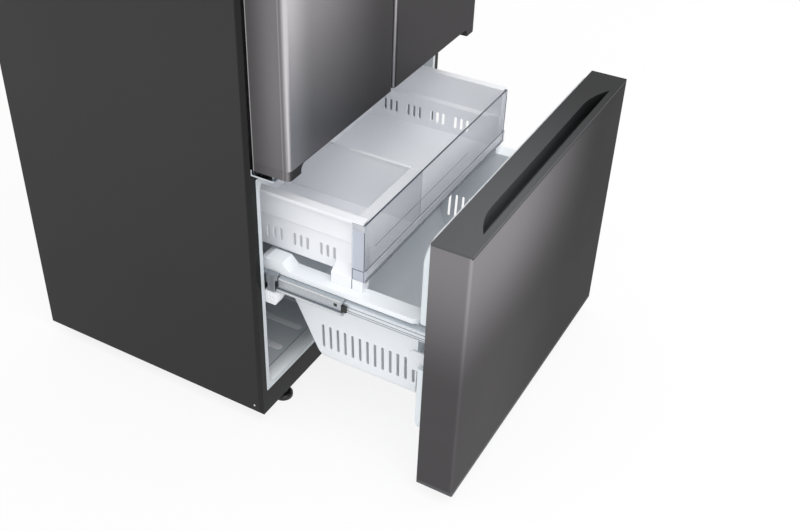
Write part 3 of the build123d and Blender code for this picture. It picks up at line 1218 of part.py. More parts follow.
def door_bin(rise):
    """Open bin held between the dykes, with a lower front."""
    x0 = DOOR_X0 + DOOR_DYKE_OUT + DOOR_DYKE_WIDTH + CLEAR
    x1 = -DOOR_DYKE_CENTRE - DOOR_DYKE_WIDTH - CLEAR
    y0 = Y_SEAL + CLEAR
    z0 = Z_DOOR + rise
    outer = block(x0, x1, y0, y0 + BIN_DEPTH, z0, z0 + BIN_HEIGHT)
    outer = fillet(outer.edges().filter_by(Axis.Z).group_by(Axis.Y)[-1], DOOR_DYKE_WIDTH)
    hollow = block(x0 + BIN_WALL, x1 - BIN_WALL, y0 + BIN_WALL, y0 + BIN_DEPTH - BIN_WALL, z0 + BIN_WALL,
                   z0 + BIN_HEIGHT + OVERCUT)
    hollow = fillet(hollow.edges().filter_by(Axis.Z).group_by(Axis.Y)[-1], DOOR_DYKE_WIDTH - BIN_WALL)
    return outer - hollow


def flap_pivot():
    return -FLAP_CENTRE - FLAP_WIDTH, Y_CASE + FLAP_THICK / 2


def mullion_flap():
    """Turning strip behind the gap between the doors, with a pin at each end."""
    x, y = flap_pivot()
    low = Z_FRIDGE + FLAP_END
    high = Z_FRIDGE_TOP - FLAP_END
    strip = block(x, x + FLAP_WIDTH, Y_CASE, Y_CASE + FLAP_THICK, low, high)
    barrel = pin(x, y, low, high, FLAP_THICK)
    return strip + barrel + pin(x, y, low - FLAP_PIN, high + FLAP_PIN, FLAP_PIN)


def flap_arms():
    """Arms on the left inner door that carry the pins of the turning strip."""
    x, y = flap_pivot()
    low = Z_FRIDGE + FLAP_END
    high = Z_FRIDGE_TOP - FLAP_END
    arms = []
    for z0 in (low - CLEAR - FLAP_PIN, high + CLEAR):
        arm = block(x - FLAP_PIN, x + FLAP_PIN, Y_SEAL, y + FLAP_PIN, z0, z0 + FLAP_PIN)
        arms.append(arm - pin(x, y, z0 - OVERCUT, z0 + FLAP_PIN + OVERCUT, FLAP_PIN + 2 * CLEAR))
    return arms


# ---------------------------------------------------------------- hinges

def centre_hinge():
    """Bright plate fixed to the front of the case, with a tab turned up behind and a pin into the door."""
    top = Z_DOOR - HINGE_DROP
    x0 = -HALF + SHEET
    plate = plan_prism(rounded(x0, x0 + HINGE_WIDTH, Y_PIVOT - HINGE_NOSE, Y_CASE - CLEAR, HINGE_NOSE / 2),
                       top - HINGE_PLATE, top)
    tab = block(x0, x0 + HINGE_WIDTH, Y_CASE - CLEAR - BRACKET_THICK, Y_CASE - CLEAR, top - HINGE_PLATE,
                top + HINGE_TAB - HINGE_PLATE)
    return plate + tab + pin(-X_PIVOT, Y_PIVOT, top, top + HINGE_PIN_LENGTH, HINGE_PIN)


def top_hinge():
    """Plate on top of the case, with its pin down into the door."""
    x0 = -HALF + SHEET + HINGE_COVER_WALL + CLEAR
    plate = plan_prism(rounded(x0, x0 + TOP_HINGE_WIDTH, Y_PIVOT - HINGE_NOSE, Y_CASE + TOP_HINGE_BACK,
                               HINGE_NOSE / 2), Z_TOP + CLEAR, Z_TOP + CLEAR + HINGE_PLATE)
    return plate + pin(-X_PIVOT, Y_PIVOT, Z_TOP - HINGE_PIN_LENGTH, Z_TOP + CLEAR, HINGE_PIN)


def hinge_cover():
    """Moulded cover over the top hinge."""
    x0 = -HALF + SHEET
    x1 = x0 + TOP_HINGE_WIDTH + HINGE_COVER_MARGIN
    y0 = Y_PIVOT - HINGE_NOSE - HINGE_COVER_MARGIN
    y1 = Y_CASE + TOP_HINGE_BACK + HINGE_COVER_MARGIN
    low = Z_TOP + CLEAR
    wall = HINGE_COVER_WALL
    outer = block(x0, x1, y0, y1, low, low + HINGE_COVER)
    outer = fillet(outer.edges().filter_by(Axis.Z), HINGE_NOSE / 2)
    outer = chamfer(outer.edges().group_by(Axis.Z)[-1], HINGE_COVER_CHAMFER)
    hollow = block(x0 + wall, x1 - wall, y0 + wall, y1 - wall, low - OVERCUT, low + HINGE_COVER - wall)
    hollow = chamfer(hollow.edges().group_by(Axis.Z)[-1], HINGE_COVER_CHAMFER)
    return outer - hollow


# ---------------------------------------------------------------- upper compartment

Y_SHELF = Y_CASE + SHELF_FRONT
Y_LADDER = Y_REAR - CLEAR - LADDER_DEPTH
LADDER_XS = (FRIDGE_HALF - LADDER_IN, LADDER_CENTRE)


def shelf_ladder(x):
    """Slotted steel track on the rear wall."""
    low = Z_FRIDGE + CRISPER_HEIGHT + COVER_THICK + LADDER_PITCH
    high = Z_FRIDGE_TOP - LADDER_PITCH
    track = block(x - LADDER_WIDTH / 2, x + LADDER_WIDTH / 2, Y_LADDER, Y_REAR - CLEAR, low, high)
    count = int((high - low) / LADDER_PITCH)
    for index in range(count):
        z = low + (index + 0.5) * LADDER_PITCH
        track -= block(x - LADDER_SLOT / 2, x + LADDER_SLOT / 2, Y_LADDER - OVERCUT,
                       Y_LADDER + LADDER_DEPTH / 2, z - LADDER_SLOT, z + LADDER_SLOT)
    return track


def shelf_frame(rise):
    """Two tapered arms hung on the tracks, joined by a front trim."""
    z = Z_FRIDGE + rise
    y1 = Y_LADDER - CLEAR
    frame = block(SHELF_GAP / 2, FRIDGE_HALF - SLIP, Y_SHELF, Y_SHELF + SHELF_TRIM, z - SHELF_TRIM, z)
    for x in LADDER_XS:
        arm = [(Y_SHELF, z), (y1, z), (y1, z - SHELF_ARM_HEIGHT), (Y_SHELF, z - SHELF_TRIM)]
        frame += side_prism(arm, x - SHELF_ARM / 2, x + SHELF_ARM / 2)
    return frame


def shelf_glass(rise):
    z = Z_FRIDGE + rise + CLEAR
    pane = rounded(SHELF_GAP / 2, FRIDGE_HALF - SLIP, Y_SHELF, Y_LADDER - CLEAR, SHELF_GAP)
    return plan_prism(pane, z, z + SHELF_GLASS)


def crisper_cover():
    """Fixed shelf over the crispers: a frame round one glass pane."""
    z = Z_FRIDGE + CLEAR + CRISPER_HEIGHT + CLEAR
    half = FRIDGE_HALF - CLEAR
    return block(-half, half, Y_SHELF, Y_REAR - CLEAR, z, z + COVER_THICK)


def crisper():
    """Open drawer with a turned-out front lip, in its place on the compartment floor."""
    x0 = CRISPER_APART / 2
    x1 = FRIDGE_HALF - SLIP
    y1 = Y_REAR - REAR_WALL
    z0 = Z_FRIDGE + CLEAR
    tub = block(x0, x1, Y_SHELF + CRISPER_LIP, y1, z0, z0 + CRISPER_HEIGHT)
    tub = fillet(tub.edges().filter_by(Axis.Y).group_by(Axis.Z)[0], FLANGE_ROUND)
    lip = block(x0, x1, Y_SHELF, Y_SHELF + CRISPER_LIP + CRISPER_WALL, z0 + CRISPER_HEIGHT - CRISPER_LIP,
                z0 + CRISPER_HEIGHT)
    hollow = block(x0 + CRISPER_WALL, x1 - CRISPER_WALL, Y_SHELF + CRISPER_LIP + CRISPER_WALL,
                   y1 - CRISPER_WALL, z0 + CRISPER_WALL, z0 + CRISPER_HEIGHT + OVERCUT)
    hollow = fillet(hollow.edges().filter_by(Axis.Y).group_by(Axis.Z)[0], FLANGE_ROUND - CRISPER_WALL)
    grip = block(x0 + CRISPER_LIP, x1 - CRISPER_LIP, Y_SHELF + CRISPER_WALL, Y_SHELF + CRISPER_LIP,
                 z0 + CRISPER_HEIGHT - CRISPER_LIP - OVERCUT, z0 + CRISPER_HEIGHT - CRISPER_WALL)
    return tub + lip - hollow - grip


def air_duct():
    """Rear air channel with outlet slots."""
    low = Z_FRIDGE + CRISPER_HEIGHT + DUCT_RISE
    high = Z_FRIDGE_TOP - LADDER_PITCH
    y1 = Y_REAR - CLEAR
    duct = block(-DUCT_WIDTH / 2, DUCT_WIDTH / 2, y1 - LADDER_DEPTH, y1, low, high)
    duct = chamfer(duct.edges().filter_by(Axis.Z).group_by(Axis.Y)[0], LADDER_DEPTH / 2)
    for z in (low + LADDER_PITCH, (low + high) / 2, high - LADDER_PITCH):
        duct -= block(-VENT_WIDTH, VENT_WIDTH, y1 - LADDER_DEPTH - OVERCUT, y1 - LADDER_DEPTH / 2,
                      z - VENT_HEIGHT / 2, z + VENT_HEIGHT / 2)
    return duct


# ---------------------------------------------------------------- write the nodes

save("outer_case", outer_case())
save("back_panel", back_panel())
save("insulation", *insulation())
save("freezer_liner", liner(freezer_cavity, *FREEZER_FLANGE))
save("fridge_liner", liner(fridge_cavity, *FRIDGE_FLANGE))
save("mullion_cover", mullion_cover())
save("base_frame", base_frame())
save("front_feet", *both_sides(front_foot()))
save("rear_rollers", *both_sides(rear_roller()))

save("compressor", compressor())
save("compressor_grommets", *grommets())
save("condenser", condenser())
save("condenser_fan", condenser_fan())
save("fan_shroud", fan_shroud())
save("drain_pan", drain_pan())
save("machine_cover", machine_cover())
save("power_inlet", power_inlet())

save("evaporator", evaporator())
save("evaporator_cover", evaporator_cover())
save("evaporator_fan", evaporator_fan())

save("drawer_skin", drawer_skin())
save("drawer_top_cap", drawer_top_cap())
save("drawer_bottom_cap", drawer_bottom_cap())
save("drawer_liner", drawer_liner())
save("drawer_gasket", drawer_gasket())

save("rails_outer", *both_sides(outer_rail()))
save("rails_middle", *both_sides(middle_rail()))
save("rails_inner", *both_sides(inner_rail()))
save("rail_bumpers", *both_sides(rail_bumper()))
save("rail_brackets", *both_sides(rail_bracket()))
save("rail_caps", *both_sides(rail_cap()))

save("freezer_basket", basket())
save("basket_clips", *both_sides(basket_clip()))

save("tray_body", tray_body())
save("tray_front", tray_front())
save("tray_divider", tray_divider())
save("tray_runners", *both_sides(tray_runner()))

for side, place in (("left", lambda piece: piece), ("right", lambda piece: mirror(piece, about=Plane.YZ))):
    save(f"door_skin_{side}", place(door_skin()))
    save(f"door_bottom_cap_{side}", place(door_bottom_cap()))
    save(f"door_top_cap_{side}", place(door_top_cap()))
    save(f"door_gasket_{side}", place(door_gasket()))
    save(f"door_bins_{side}", *[place(door_bin(rise)) for rise in BIN_RISE])

save("mullion_flap", mullion_flap())
save("door_liner_left", door_liner() + flap_arms())
save("door_liner_right", mirror(door_liner(), about=Plane.YZ))
save("centre_hinges", *both_sides(centre_hinge()))
save("top_hinges", *both_sides(top_hinge()))
save("hinge_covers", *both_sides(hinge_cover()))

save("shelf_ladders", *[ladder for x in LADDER_XS for ladder in both_sides(shelf_ladder(x))])
save("shelf_frames", *[frame for rise in SHELF_RISE for frame in both_sides(shelf_frame(rise))])
save("shelf_glass", *[pane for rise in SHELF_RISE for pane in both_sides(shelf_glass(rise))])
save("crisper_cover", crisper_cover())
save("crisper_left", mirror(crisper(), about=Plane.YZ))
save("crisper_right", crisper())
save("air_duct", air_duct())
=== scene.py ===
import json
from math import cos, pi, sin, sqrt

import bmesh
import bpy
from mathutils import Matrix, Vector


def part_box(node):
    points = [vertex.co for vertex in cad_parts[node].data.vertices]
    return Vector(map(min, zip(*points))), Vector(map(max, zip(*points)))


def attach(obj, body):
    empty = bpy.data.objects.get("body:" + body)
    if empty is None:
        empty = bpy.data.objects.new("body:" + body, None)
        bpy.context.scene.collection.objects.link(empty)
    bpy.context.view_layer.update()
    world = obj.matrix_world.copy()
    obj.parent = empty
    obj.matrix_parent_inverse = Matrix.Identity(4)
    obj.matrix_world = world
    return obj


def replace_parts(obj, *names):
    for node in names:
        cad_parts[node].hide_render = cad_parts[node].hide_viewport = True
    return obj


bl_info = {
    "name": "Bottom freezer refrigerator",
    "version": (1, 0, 0),
    "blender": (4, 5, 0),
    "location": "View3D > Sidebar > Refrigerator",
    "description": "Finishes, seals, fasteners and moulded detail of a two-door refrigerator "
                   "with a freezer drawer",
    "category": "Object",
}

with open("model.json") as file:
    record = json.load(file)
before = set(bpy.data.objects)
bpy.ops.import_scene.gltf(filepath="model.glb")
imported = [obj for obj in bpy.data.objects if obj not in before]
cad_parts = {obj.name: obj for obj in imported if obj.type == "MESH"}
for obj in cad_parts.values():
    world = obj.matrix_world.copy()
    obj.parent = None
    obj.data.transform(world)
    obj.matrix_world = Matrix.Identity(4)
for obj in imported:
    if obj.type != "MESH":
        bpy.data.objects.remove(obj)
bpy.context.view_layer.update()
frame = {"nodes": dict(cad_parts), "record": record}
MM = 0.001
SIDES = (-1, 1)

# Axes of the frame by index: left to right, front to rear, floor to top.
ACROSS, DEEP, UP = range(3)

# Ways that a face can look.
FORWARD = (0, -1, 0)
REARWARD = (0, 1, 0)
UPWARD = (0, 0, 1)

# Sizes of the solids that their boxes in the frame don't give.
MOULDING = 3 * MM              # walls of basket and tray
BASKET_DEPTH = 289 * MM        # from the floor to the rim
BASKET_HALF_WIDTH = 340 * MM   # at the floor
BASKET_LEAN = 16 / 289         # of the sides, outward for each unit upward
BASKET_REAR = -214.5 * MM      # inner face of the steep rear wall at the floor
BASKET_REAR_LEAN = 65 / 153
TRAY_HALF_WIDTH = 348 * MM
FREEZER_FLOOR = 122 * MM

# Slots of basket and tray: widths, and pitches in millimetres.
BASKET_SLOT = 7.5 * MM
TRAY_SLOT = 8 * MM
BASKET_SLOT_PITCH = 21
REAR_SLOT_PITCH = 38
TRAY_SLOT_PITCH = 18
TRAY_GROUP_PITCH = 74


# ---------------------------------------------------------------- shader maths

class Number:
    """A value in a shader, so that plain arithmetic on it adds Math nodes."""

    def __init__(self, nodes, socket):
        self.nodes = nodes
        self.socket = socket

    def maths(self, operation, *values):
        return self.nodes.add("ShaderNodeMath", dict(enumerate(values)), operation=operation)

    def __add__(self, other):
        return self.maths("ADD", self, other)

    __radd__ = __add__

    def __mul__(self, other):
        return self.maths("MULTIPLY", self, other)

    __rmul__ = __mul__

    def __sub__(self, other):
        return self.maths("SUBTRACT", self, other)

    def __rsub__(self, other):
        return self.maths("SUBTRACT", other, self)

    def __abs__(self):
        return self.maths("ABSOLUTE", self)

    def at_least(self, other):
        return self.maths("MAXIMUM", self, other)

    def at_most(self, other):
        return self.maths("MINIMUM", self, other)

    def ramp(self, low, high):
        """0 below low, 1 above high, smooth between them."""
        return self.nodes.add("ShaderNodeMapRange", {"Value": self, "From Min": low, "From Max": high},
                              interpolation_type="SMOOTHSTEP")

    def peak(self, middle, width):
        """1 at the middle and 0 beyond the width on either side."""
        return self.ramp(middle - width, middle) * (1 - self.ramp(middle, middle + width))


class Nodes:
    """A node tree, built one node at a time."""

    def __init__(self, tree):
        self.tree = tree
        tree.nodes.clear()

    def add(self, kind, inputs=None, output=0, **settings):
        """New node. Its inputs are numbers of this tree or plain values, by name or index of the socket."""
        node = self.tree.nodes.new(kind)
        for key, value in settings.items():
            setattr(node, key, value)
        for key, value in (inputs or {}).items():
            if isinstance(value, Number):
                self.tree.links.new(value.socket, node.inputs[key])
            else:
                node.inputs[key].default_value = value
        return Number(self, node.outputs[output]) if node.outputs else None

    def seen(self):
        """1 for a ray from the camera, a mirror or glass, and 0 for one that lights the object."""
        camera, mirror, glass = [self.add("ShaderNodeLightPath", output=name)
                                 for name in ("Is Camera Ray", "Is Glossy Ray", "Is Transmission Ray")]
        return (camera + mirror + glass).at_most(1.0)


class Finish(Nodes):
    """One material. Lengths in it are metres in the frame."""

    def __init__(self, name, edge=0.7 * MM):
        self.name = name
        self.material = bpy.data.materials.new(name)
        self.material.use_nodes = True
        super().__init__(self.material.node_tree)
        self.place = self.add("ShaderNodeTexCoord", output="Object")
        self.edge = self.add("ShaderNodeBevel", {"Radius": edge}, samples=4)

    def along(self, axis):
        """The place along one axis of the frame."""
        return self.part(self.place, axis)

    def part(self, vector, axis):
        """One component of a vector."""
        return self.add("ShaderNodeSeparateXYZ", {0: vector}, axis)

    def stretched(self, scale):
        """The place in the frame, scaled along each axis."""
        return self.add("ShaderNodeVectorMath", {0: self.place, 1: scale}, operation="MULTIPLY")

    def noise(self, scale, detail=2.0, roughness=0.5):
        """Clouds or grain. The scale is one number, or one for each axis."""
        if isinstance(scale, (int, float)):
            scale = (scale, scale, scale)
        return self.add("ShaderNodeTexNoise", {"Vector": self.stretched(scale), "Scale": 1.0,
                                               "Detail": detail, "Roughness": roughness})

    def cells(self, scale):
        """Distance to the middle of a random cell."""
        place = self.stretched((scale, scale, scale))
        return self.add("ShaderNodeTexVoronoi", {"Vector": place, "Scale": 1.0}, "Distance")

    def blend(self, factor, first, second):
        """Colour that goes from first to second."""
        return self.add("ShaderNodeMix", {0: factor, 6: first, 7: second}, 2, data_type="RGBA")

    def edge_mask(self):
        """1 on a sharp edge and 0 on a flat face."""
        plain = self.add("ShaderNodeNewGeometry", output="Normal")
        same = self.add("ShaderNodeVectorMath", {0: plain, 1: self.edge}, "Value", operation="DOT_PRODUCT")
        return (1 - same).ramp(0.01, 0.25)

    def bump(self, height, depth):
        return self.add("ShaderNodeBump", {"Height": height, "Distance": depth, "Strength": 1.0,
                                           "Normal": self.edge})

    def close(self, **sockets):
        """Shader and output. Keys are the shader's socket names with underscores. Gives name and material."""
        inputs = {key.replace("_", " "): value for key, value in sockets.items()}
        shader = self.add("ShaderNodeBsdfPrincipled", inputs)
        self.add("ShaderNodeOutputMaterial", {"Surface": shader})
        return self.name, self.material


def shade(colour, factor):
    """A colour made lighter or darker."""
    return tuple(min(1.0, channel * factor) for channel in colour[:3]) + (1.0,)


# ---------------------------------------------------------------- finishes

BLACK = (0.0, 0.0, 0.0, 1.0)
WHITE = (1.0, 1.0, 1.0, 1.0)
JET = (0.012, 0.012, 0.013, 1.0)

# Tint of the dark steel where it is seen at a glance.
GLANCE = (0.48, 0.48, 0.48, 1.0)

# Haze of the clear front: on its returns, and on the pane itself.
RETURN_HAZE = (0.66, 0.7, 0.8, 1.0)
PANE_HAZE = (0.36, 0.39, 0.45, 1.0)

# Where painted shade, painted reflection and the pane's haze fade: places in the frame, in metres.
CASE_HEIGHTS = (-0.1, 1.1)
DRAWER_WIDTH = (-0.32, 0.32)
DRAWER_HEIGHTS = (0.36, 0.73)
CAP_WIDTH = (-0.35, 0.42)
DOOR_HEIGHTS = (0.74, 1.04)
PANE_FOOT = (0.54, 0.548)
PANE_HEIGHTS = (0.55, 0.66)

# How far the painted reflection beside the left fold of the door reaches: its core, and its wide part.
NEAR_REFLECTION = 100 * MM
WIDE_REFLECTION = 420 * MM


def moulded(name, colour, roughness, grain=900.0, depth=0.02):
    """Moulded plastic: faint clouds of colour, a fine texture, and a painted highlight on its edges."""
    finish = Finish(name)
    mist = finish.noise(7.0, detail=3.0)
    texture = finish.noise(grain, detail=1.0)
    tone = finish.blend(mist, shade(colour, 0.97), shade(colour, 1.03))
    # Painted highlight: edges lighter than the faces.
    tone = finish.blend(finish.edge_mask() * 0.35, tone, shade(colour, 1.25))
    rough = texture * 0.1 + mist * 0.06 + (roughness - 0.08)
    return finish.close(Base_Color=tone, Roughness=rough, Normal=finish.bump(texture, depth * MM))


def painted_shade_cap(name, near, far):
    """Satin moulded cap with painted shade that deepens from left to right, as the painted reflection on the
    steel below it does, and a painted highlight on its edges.
    """
    finish = Finish(name)
    mist = finish.noise(7.0, detail=3.0)
    texture = finish.noise(1400.0, detail=1.0)
    # Painted shade: lighter at the left end and darker at the right.
    tone = finish.blend(finish.along(ACROSS).ramp(*CAP_WIDTH), near, far)
    tone = finish.blend(mist * 0.12, tone, shade(near, 0.7))
    # Painted highlight: edges lighter.
    tone = finish.blend(finish.edge_mask() * 0.5, tone, shade(near, 2.0))
    rough = texture * 0.1 + mist * 0.06 + 0.42
    return finish.close(Base_Color=tone, Roughness=rough, Normal=finish.bump(texture, 0.03 * MM),
                        Specular_IOR_Level=0.2)


def painted_case(name, colour):
    """Charcoal paint over sheet steel, darker along the front fold, with painted shade towards the bottom, a
    painted highlight on its edges and a fine orange peel.
    """
    finish = Finish(name)
    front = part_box("outer_case")[0].y
    behind_fold = finish.along(DEEP).ramp(front + 13 * MM, front + 19 * MM)
    mist = finish.noise(4.0, detail=3.0)
    peel = finish.noise(420.0, detail=1.5)
    # Painted shade: darker towards the bottom of the case.
    tone = finish.blend(finish.along(UP).ramp(*CASE_HEIGHTS), shade(colour, 0.45), shade(colour, 1.08))
    tone = finish.blend(mist * 0.25, tone, shade(colour, 0.9))
    tone = finish.blend(behind_fold, shade(colour, 0.2), tone)
    # Painted highlight: edges lighter.
    tone = finish.blend(finish.edge_mask() * 0.5, tone, shade(colour, 2.6))
    rough = peel * 0.12 + mist * 0.08 + 0.4
    return finish.close(Base_Color=tone, Roughness=rough, Normal=finish.bump(peel, 0.05 * MM),
                        Specular_IOR_Level=0.22)


def drawer_painted_reflection(finish):
    """Painted reflection on the steel of the drawer front: lightest at the upper left, darker to the right
    and downward, and dimmer on the side as painted shade.
    """
    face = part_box("drawer_skin")[0].y
    leftward = 1 - finish.along(ACROSS).ramp(*DRAWER_WIDTH)
    upward = finish.along(UP).ramp(*DRAWER_HEIGHTS)
    # Painted shade: the side of the drawer dimmer than its front.
    side = finish.along(DEEP).ramp(face + 2 * MM, face + 10 * MM)
    return leftward * (upward * 0.79 + 0.21) * (1 - side * 0.4)


def door_painted_reflection(finish):
    """Painted reflection on the steel of the doors: lightest beside the left fold, and fading down and to the
    rear, with painted highlight lines.
    """
    low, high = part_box("door_skin_left")
    face = low.y
    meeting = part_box("door_skin_right")[0].x
    across = finish.along(ACROSS)
    depth = finish.along(DEEP)
    near = 1 - across.ramp(low.x, low.x + NEAR_REFLECTION)
    wide = 1 - across.ramp(low.x, low.x + WIDE_REFLECTION)
    upward = finish.along(UP).ramp(*DOOR_HEIGHTS) * 0.35 + 0.65
    front = 1 - depth.ramp(face + 1 * MM, face + 12 * MM) * 0.8
    side = 1 - depth.ramp(face + 20 * MM, face + 95 * MM)
    # Painted highlights: lines along the fold, the rear edge and where the doors meet.
    fold_lines = (depth.peak(face + 3 * MM, 2 * MM) + depth.peak(face + 16 * MM, 2.5 * MM)) * 0.2
    rear_line = depth.peak(high.y, 3 * MM) * 0.7
    meeting_line = across.peak(meeting + 4 * MM, 3 * MM) * 0.9
    glow = (near * 0.5 + wide * 0.56) * upward * front * side
    return glow + (fold_lines + rear_line) * wide + meeting_line


def cap_painted_reflection(finish):
    """The door's painted reflection on the side of its end cap, and none on the front of it."""
    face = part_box("door_skin_left")[0].y
    return door_painted_reflection(finish) * finish.along(DEEP).ramp(face + 1 * MM, face + 9 * MM)


def drawer_joint(finish):
    """1 on the line where the front of the drawer meets its top cap, where the painted shadow goes."""
    low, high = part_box("drawer_skin")
    front = 1 - finish.along(DEEP).ramp(low.y + 1 * MM, low.y + 3 * MM)
    return finish.along(UP).ramp(high.z - 2.6 * MM, high.z - 1.4 * MM) * front


def brushed(name, dark, light, roughness, along, painted_reflection=None, shadow=None, edge_highlight=0.3, **sockets):
    """Brushed sheet: hair lines along one axis; soft smudges, or else a given painted reflection; a painted
    highlight on its edges, and a given painted shadow.
    """
    finish = Finish(name, edge=1.2 * MM)
    hair = finish.noise([9.0 if axis == along else 2600.0 for axis in (ACROSS, DEEP, UP)], roughness=0.7)
    mist = finish.noise(5.0, detail=3.0)
    # Painted reflection, where one is given: it sets the tone between dark and light.
    tone = finish.blend(painted_reflection(finish) if painted_reflection else mist, dark, light)
    tone = finish.blend(hair * 0.12, tone, shade(dark, 0.5))
    # Painted highlight: edges lighter.
    tone = finish.blend(finish.edge_mask() * edge_highlight, tone, shade(light, 1.3))
    # Painted shadow: black along the given line.
    if shadow:
        tone = finish.blend(shadow(finish) * 0.9, tone, BLACK)
    rough = hair * 0.1 + mist * 0.08 + (roughness - 0.09)
    return finish.close(Base_Color=tone, Roughness=rough, Metallic=1.0,
                        Normal=finish.bump(hair, 0.004 * MM), **sockets)


def plated(name, colour, roughness, metal=1.0):
    """Zinc or nickel plate: a faint crystal pattern, streaks from rolling and a painted highlight on its
    edges.
    """
    finish = Finish(name)
    crystal = finish.cells(160.0)
    streak = finish.noise((1800.0, 20.0, 1800.0))
    tone = finish.blend(crystal, shade(colour, 0.94), shade(colour, 1.05))
    # Painted highlight: edges lighter.
    tone = finish.blend(finish.edge_mask() * 0.6, tone, shade(colour, 1.3))
    rough = streak * 0.14 + crystal * 0.06 + (roughness - 0.1)
    return finish.close(Base_Color=tone, Roughness=rough, Metallic=metal,
                        Normal=finish.bump(streak, 0.006 * MM))


def clear_moulding(name, colour, edge_colour, body, top=0.0, veil=0.0):
    """Clear moulding that is all but unseen on its faces, with the dark line that its cut edges show.

    The body is how solid it looks, the top how much its upper faces take the edge's colour, and the veil how
    much haze its returns and its pane have. The pane's haze thins upward, and there is none at its foot.
    """
    finish = Finish(name, edge=1.6 * MM)
    normal = finish.add("ShaderNodeNewGeometry", output="True Normal")
    swirl = finish.noise(26.0)
    upper = finish.part(normal, UP).ramp(0.6, 0.9) * top
    line = upper.at_least(finish.edge_mask() * 0.25)
    sideways = abs(finish.part(normal, ACROSS)).ramp(0.6, 0.9) * veil
    facing = abs(finish.part(normal, DEEP)).ramp(0.8, 0.95) * veil
    tone = finish.blend(sideways, colour, RETURN_HAZE)
    tone = finish.blend(line, tone, edge_colour)
    tone = finish.blend(facing, tone, PANE_HAZE)
    height = finish.along(UP)
    haze = height.ramp(*PANE_FOOT) * (0.18 - height.ramp(*PANE_HEIGHTS) * 0.13)
    solid = line * (0.95 - body) + sideways * 0.55 + facing * haze + swirl * 0.03 + (body - 0.015)
    return finish.close(Base_Color=tone, Roughness=swirl * 0.05 + 0.04, Alpha=solid.at_most(1.0),
                        Normal=finish.bump(swirl, 0.05 * MM))


def rubber(name, colour):
    """Soft seal: dull, with a dusty bloom."""
    finish = Finish(name)
    dust = finish.noise(60.0, detail=4.0, roughness=0.7)
    fine = finish.noise(1500.0, detail=1.0)
    tone = finish.blend(dust.ramp(0.45, 0.7), colour, shade(colour, 1.12))
    return finish.close(Base_Color=tone, Roughness=dust * 0.12 + 0.55, Normal=finish.bump(fine, 0.02 * MM),
                        Sheen_Weight=0.1)


def foam(name, colour):
    """Rigid foam with a skin of small cells."""
    finish = Finish(name)
    cell = finish.cells(700.0)
    tone = finish.blend(cell, shade(colour, 0.85), colour)
    return finish.close(Base_Color=tone, Roughness=cell * 0.2 + 0.7, Normal=finish.bump(cell, 0.3 * MM))


# Nodes whose finish is a variant of their slot's. The freezer liner's is a darker copy of the white liner, as
# painted shade, and the inner rails' a brighter, less metallic copy of the zinc, as painted light.
VARIANTS = {
    "drawer_skin": "drawer_stainless",
    "drawer_top_cap": "drawer_cap",
    "drawer_bottom_cap": "drawer_cap",
    "door_bottom_cap_left": "door_cap",
    "door_bottom_cap_right": "door_cap",
    "tray_front": "clear_front",
    "rails_inner": "painted_light_zinc",
    "freezer_liner": "painted_shade_liner",
}


def make_finishes(colours):
    """Every finish by name: one for each slot of the record, and the variants."""
    white = colours.white_plastic
    clear = colours.clear_plastic
    edge = colours.clear_edge
    cap = colours.dark_cap
    steel = colours.dark_steel
    zinc = colours.rail_steel
    return dict((
        painted_case("case_paint", colours.case_paint),
        brushed("dark_stainless", shade(steel, 0.4), shade(steel, 3.0), 0.34, ACROSS, door_painted_reflection, edge_highlight=0.1,
                Specular_Tint=GLANCE),
        brushed("drawer_stainless", shade(steel, 0.22), shade(steel, 1.75), 0.36, ACROSS, drawer_painted_reflection,
                drawer_joint, Specular_Tint=GLANCE),
        moulded("dark_cap", cap, 0.5, grain=1400.0, depth=0.03),
        painted_shade_cap("drawer_cap", shade(cap, 1.15), shade(cap, 0.12)),
        brushed("door_cap", shade(steel, 0.4), shade(steel, 3.0), 0.5, ACROSS, cap_painted_reflection, edge_highlight=0.1,
                Specular_Tint=GLANCE),
        moulded("white_liner", colours.liner_plastic, 0.36, grain=300.0, depth=0.03),
        # Painted shade: the liner's white made darker for the freezer.
        moulded("painted_shade_liner", shade(colours.liner_plastic, 0.75), 0.36, grain=300.0, depth=0.03),
        # Painted shadow: dark lines laid where gaps and steps are in shade.
        moulded("shadow_line", (0.12, 0.14, 0.16, 1.0), 0.5),
        moulded("white_plastic", white, 0.4, grain=1100.0),
        moulded("basket_plastic", colours.basket_plastic, 0.42, grain=800.0),
        moulded("tray_plastic", colours.tray_plastic, 0.36, grain=800.0),
        clear_moulding("clear_plastic", clear, shade(edge, 5.0), 0.22),
        clear_moulding("clear_front", clear, edge, 0.08, top=0.9, veil=1.0),
        clear_moulding("frosted_clear", white, shade(white, 0.6), 0.5),
        moulded("clear_line", edge, 0.3),
        clear_moulding("shelf_glass", colours.shelf_glass, (0.25, 0.45, 0.42, 1.0), 0.1),
        rubber("pale_rubber", colours.seal),
        plated("zinc_steel", zinc, 0.34),
        # Painted light: the zinc made brighter and less metallic for the inner rails.
        plated("painted_light_zinc", shade(zinc, 1.45), 0.34, metal=0.35),
        plated("bracket_steel", shade(zinc, 0.8), 0.4),
        plated("bright_steel", shade(zinc, 1.15), 0.22),
        plated("galvanised_sheet", shade(zinc, 0.85), 0.45),
        moulded("black_plastic", JET, 0.45),
        rubber("black_rubber", (0.02, 0.02, 0.02, 1.0)),
        moulded("black_enamel", JET, 0.25, grain=200.0),
        brushed("coil_metal", (0.55, 0.57, 0.59, 1.0), (0.66, 0.68, 0.7, 1.0), 0.35, UP),
        foam("foam", (0.75, 0.66, 0.45, 1.0)),
    ))


# ---------------------------------------------------------------- mesh helpers

def in_scene(name, data):
    """New object in the scene."""
    made = bpy.data.objects.new(name, data)
    bpy.context.scene.collection.objects.link(made)
    return made


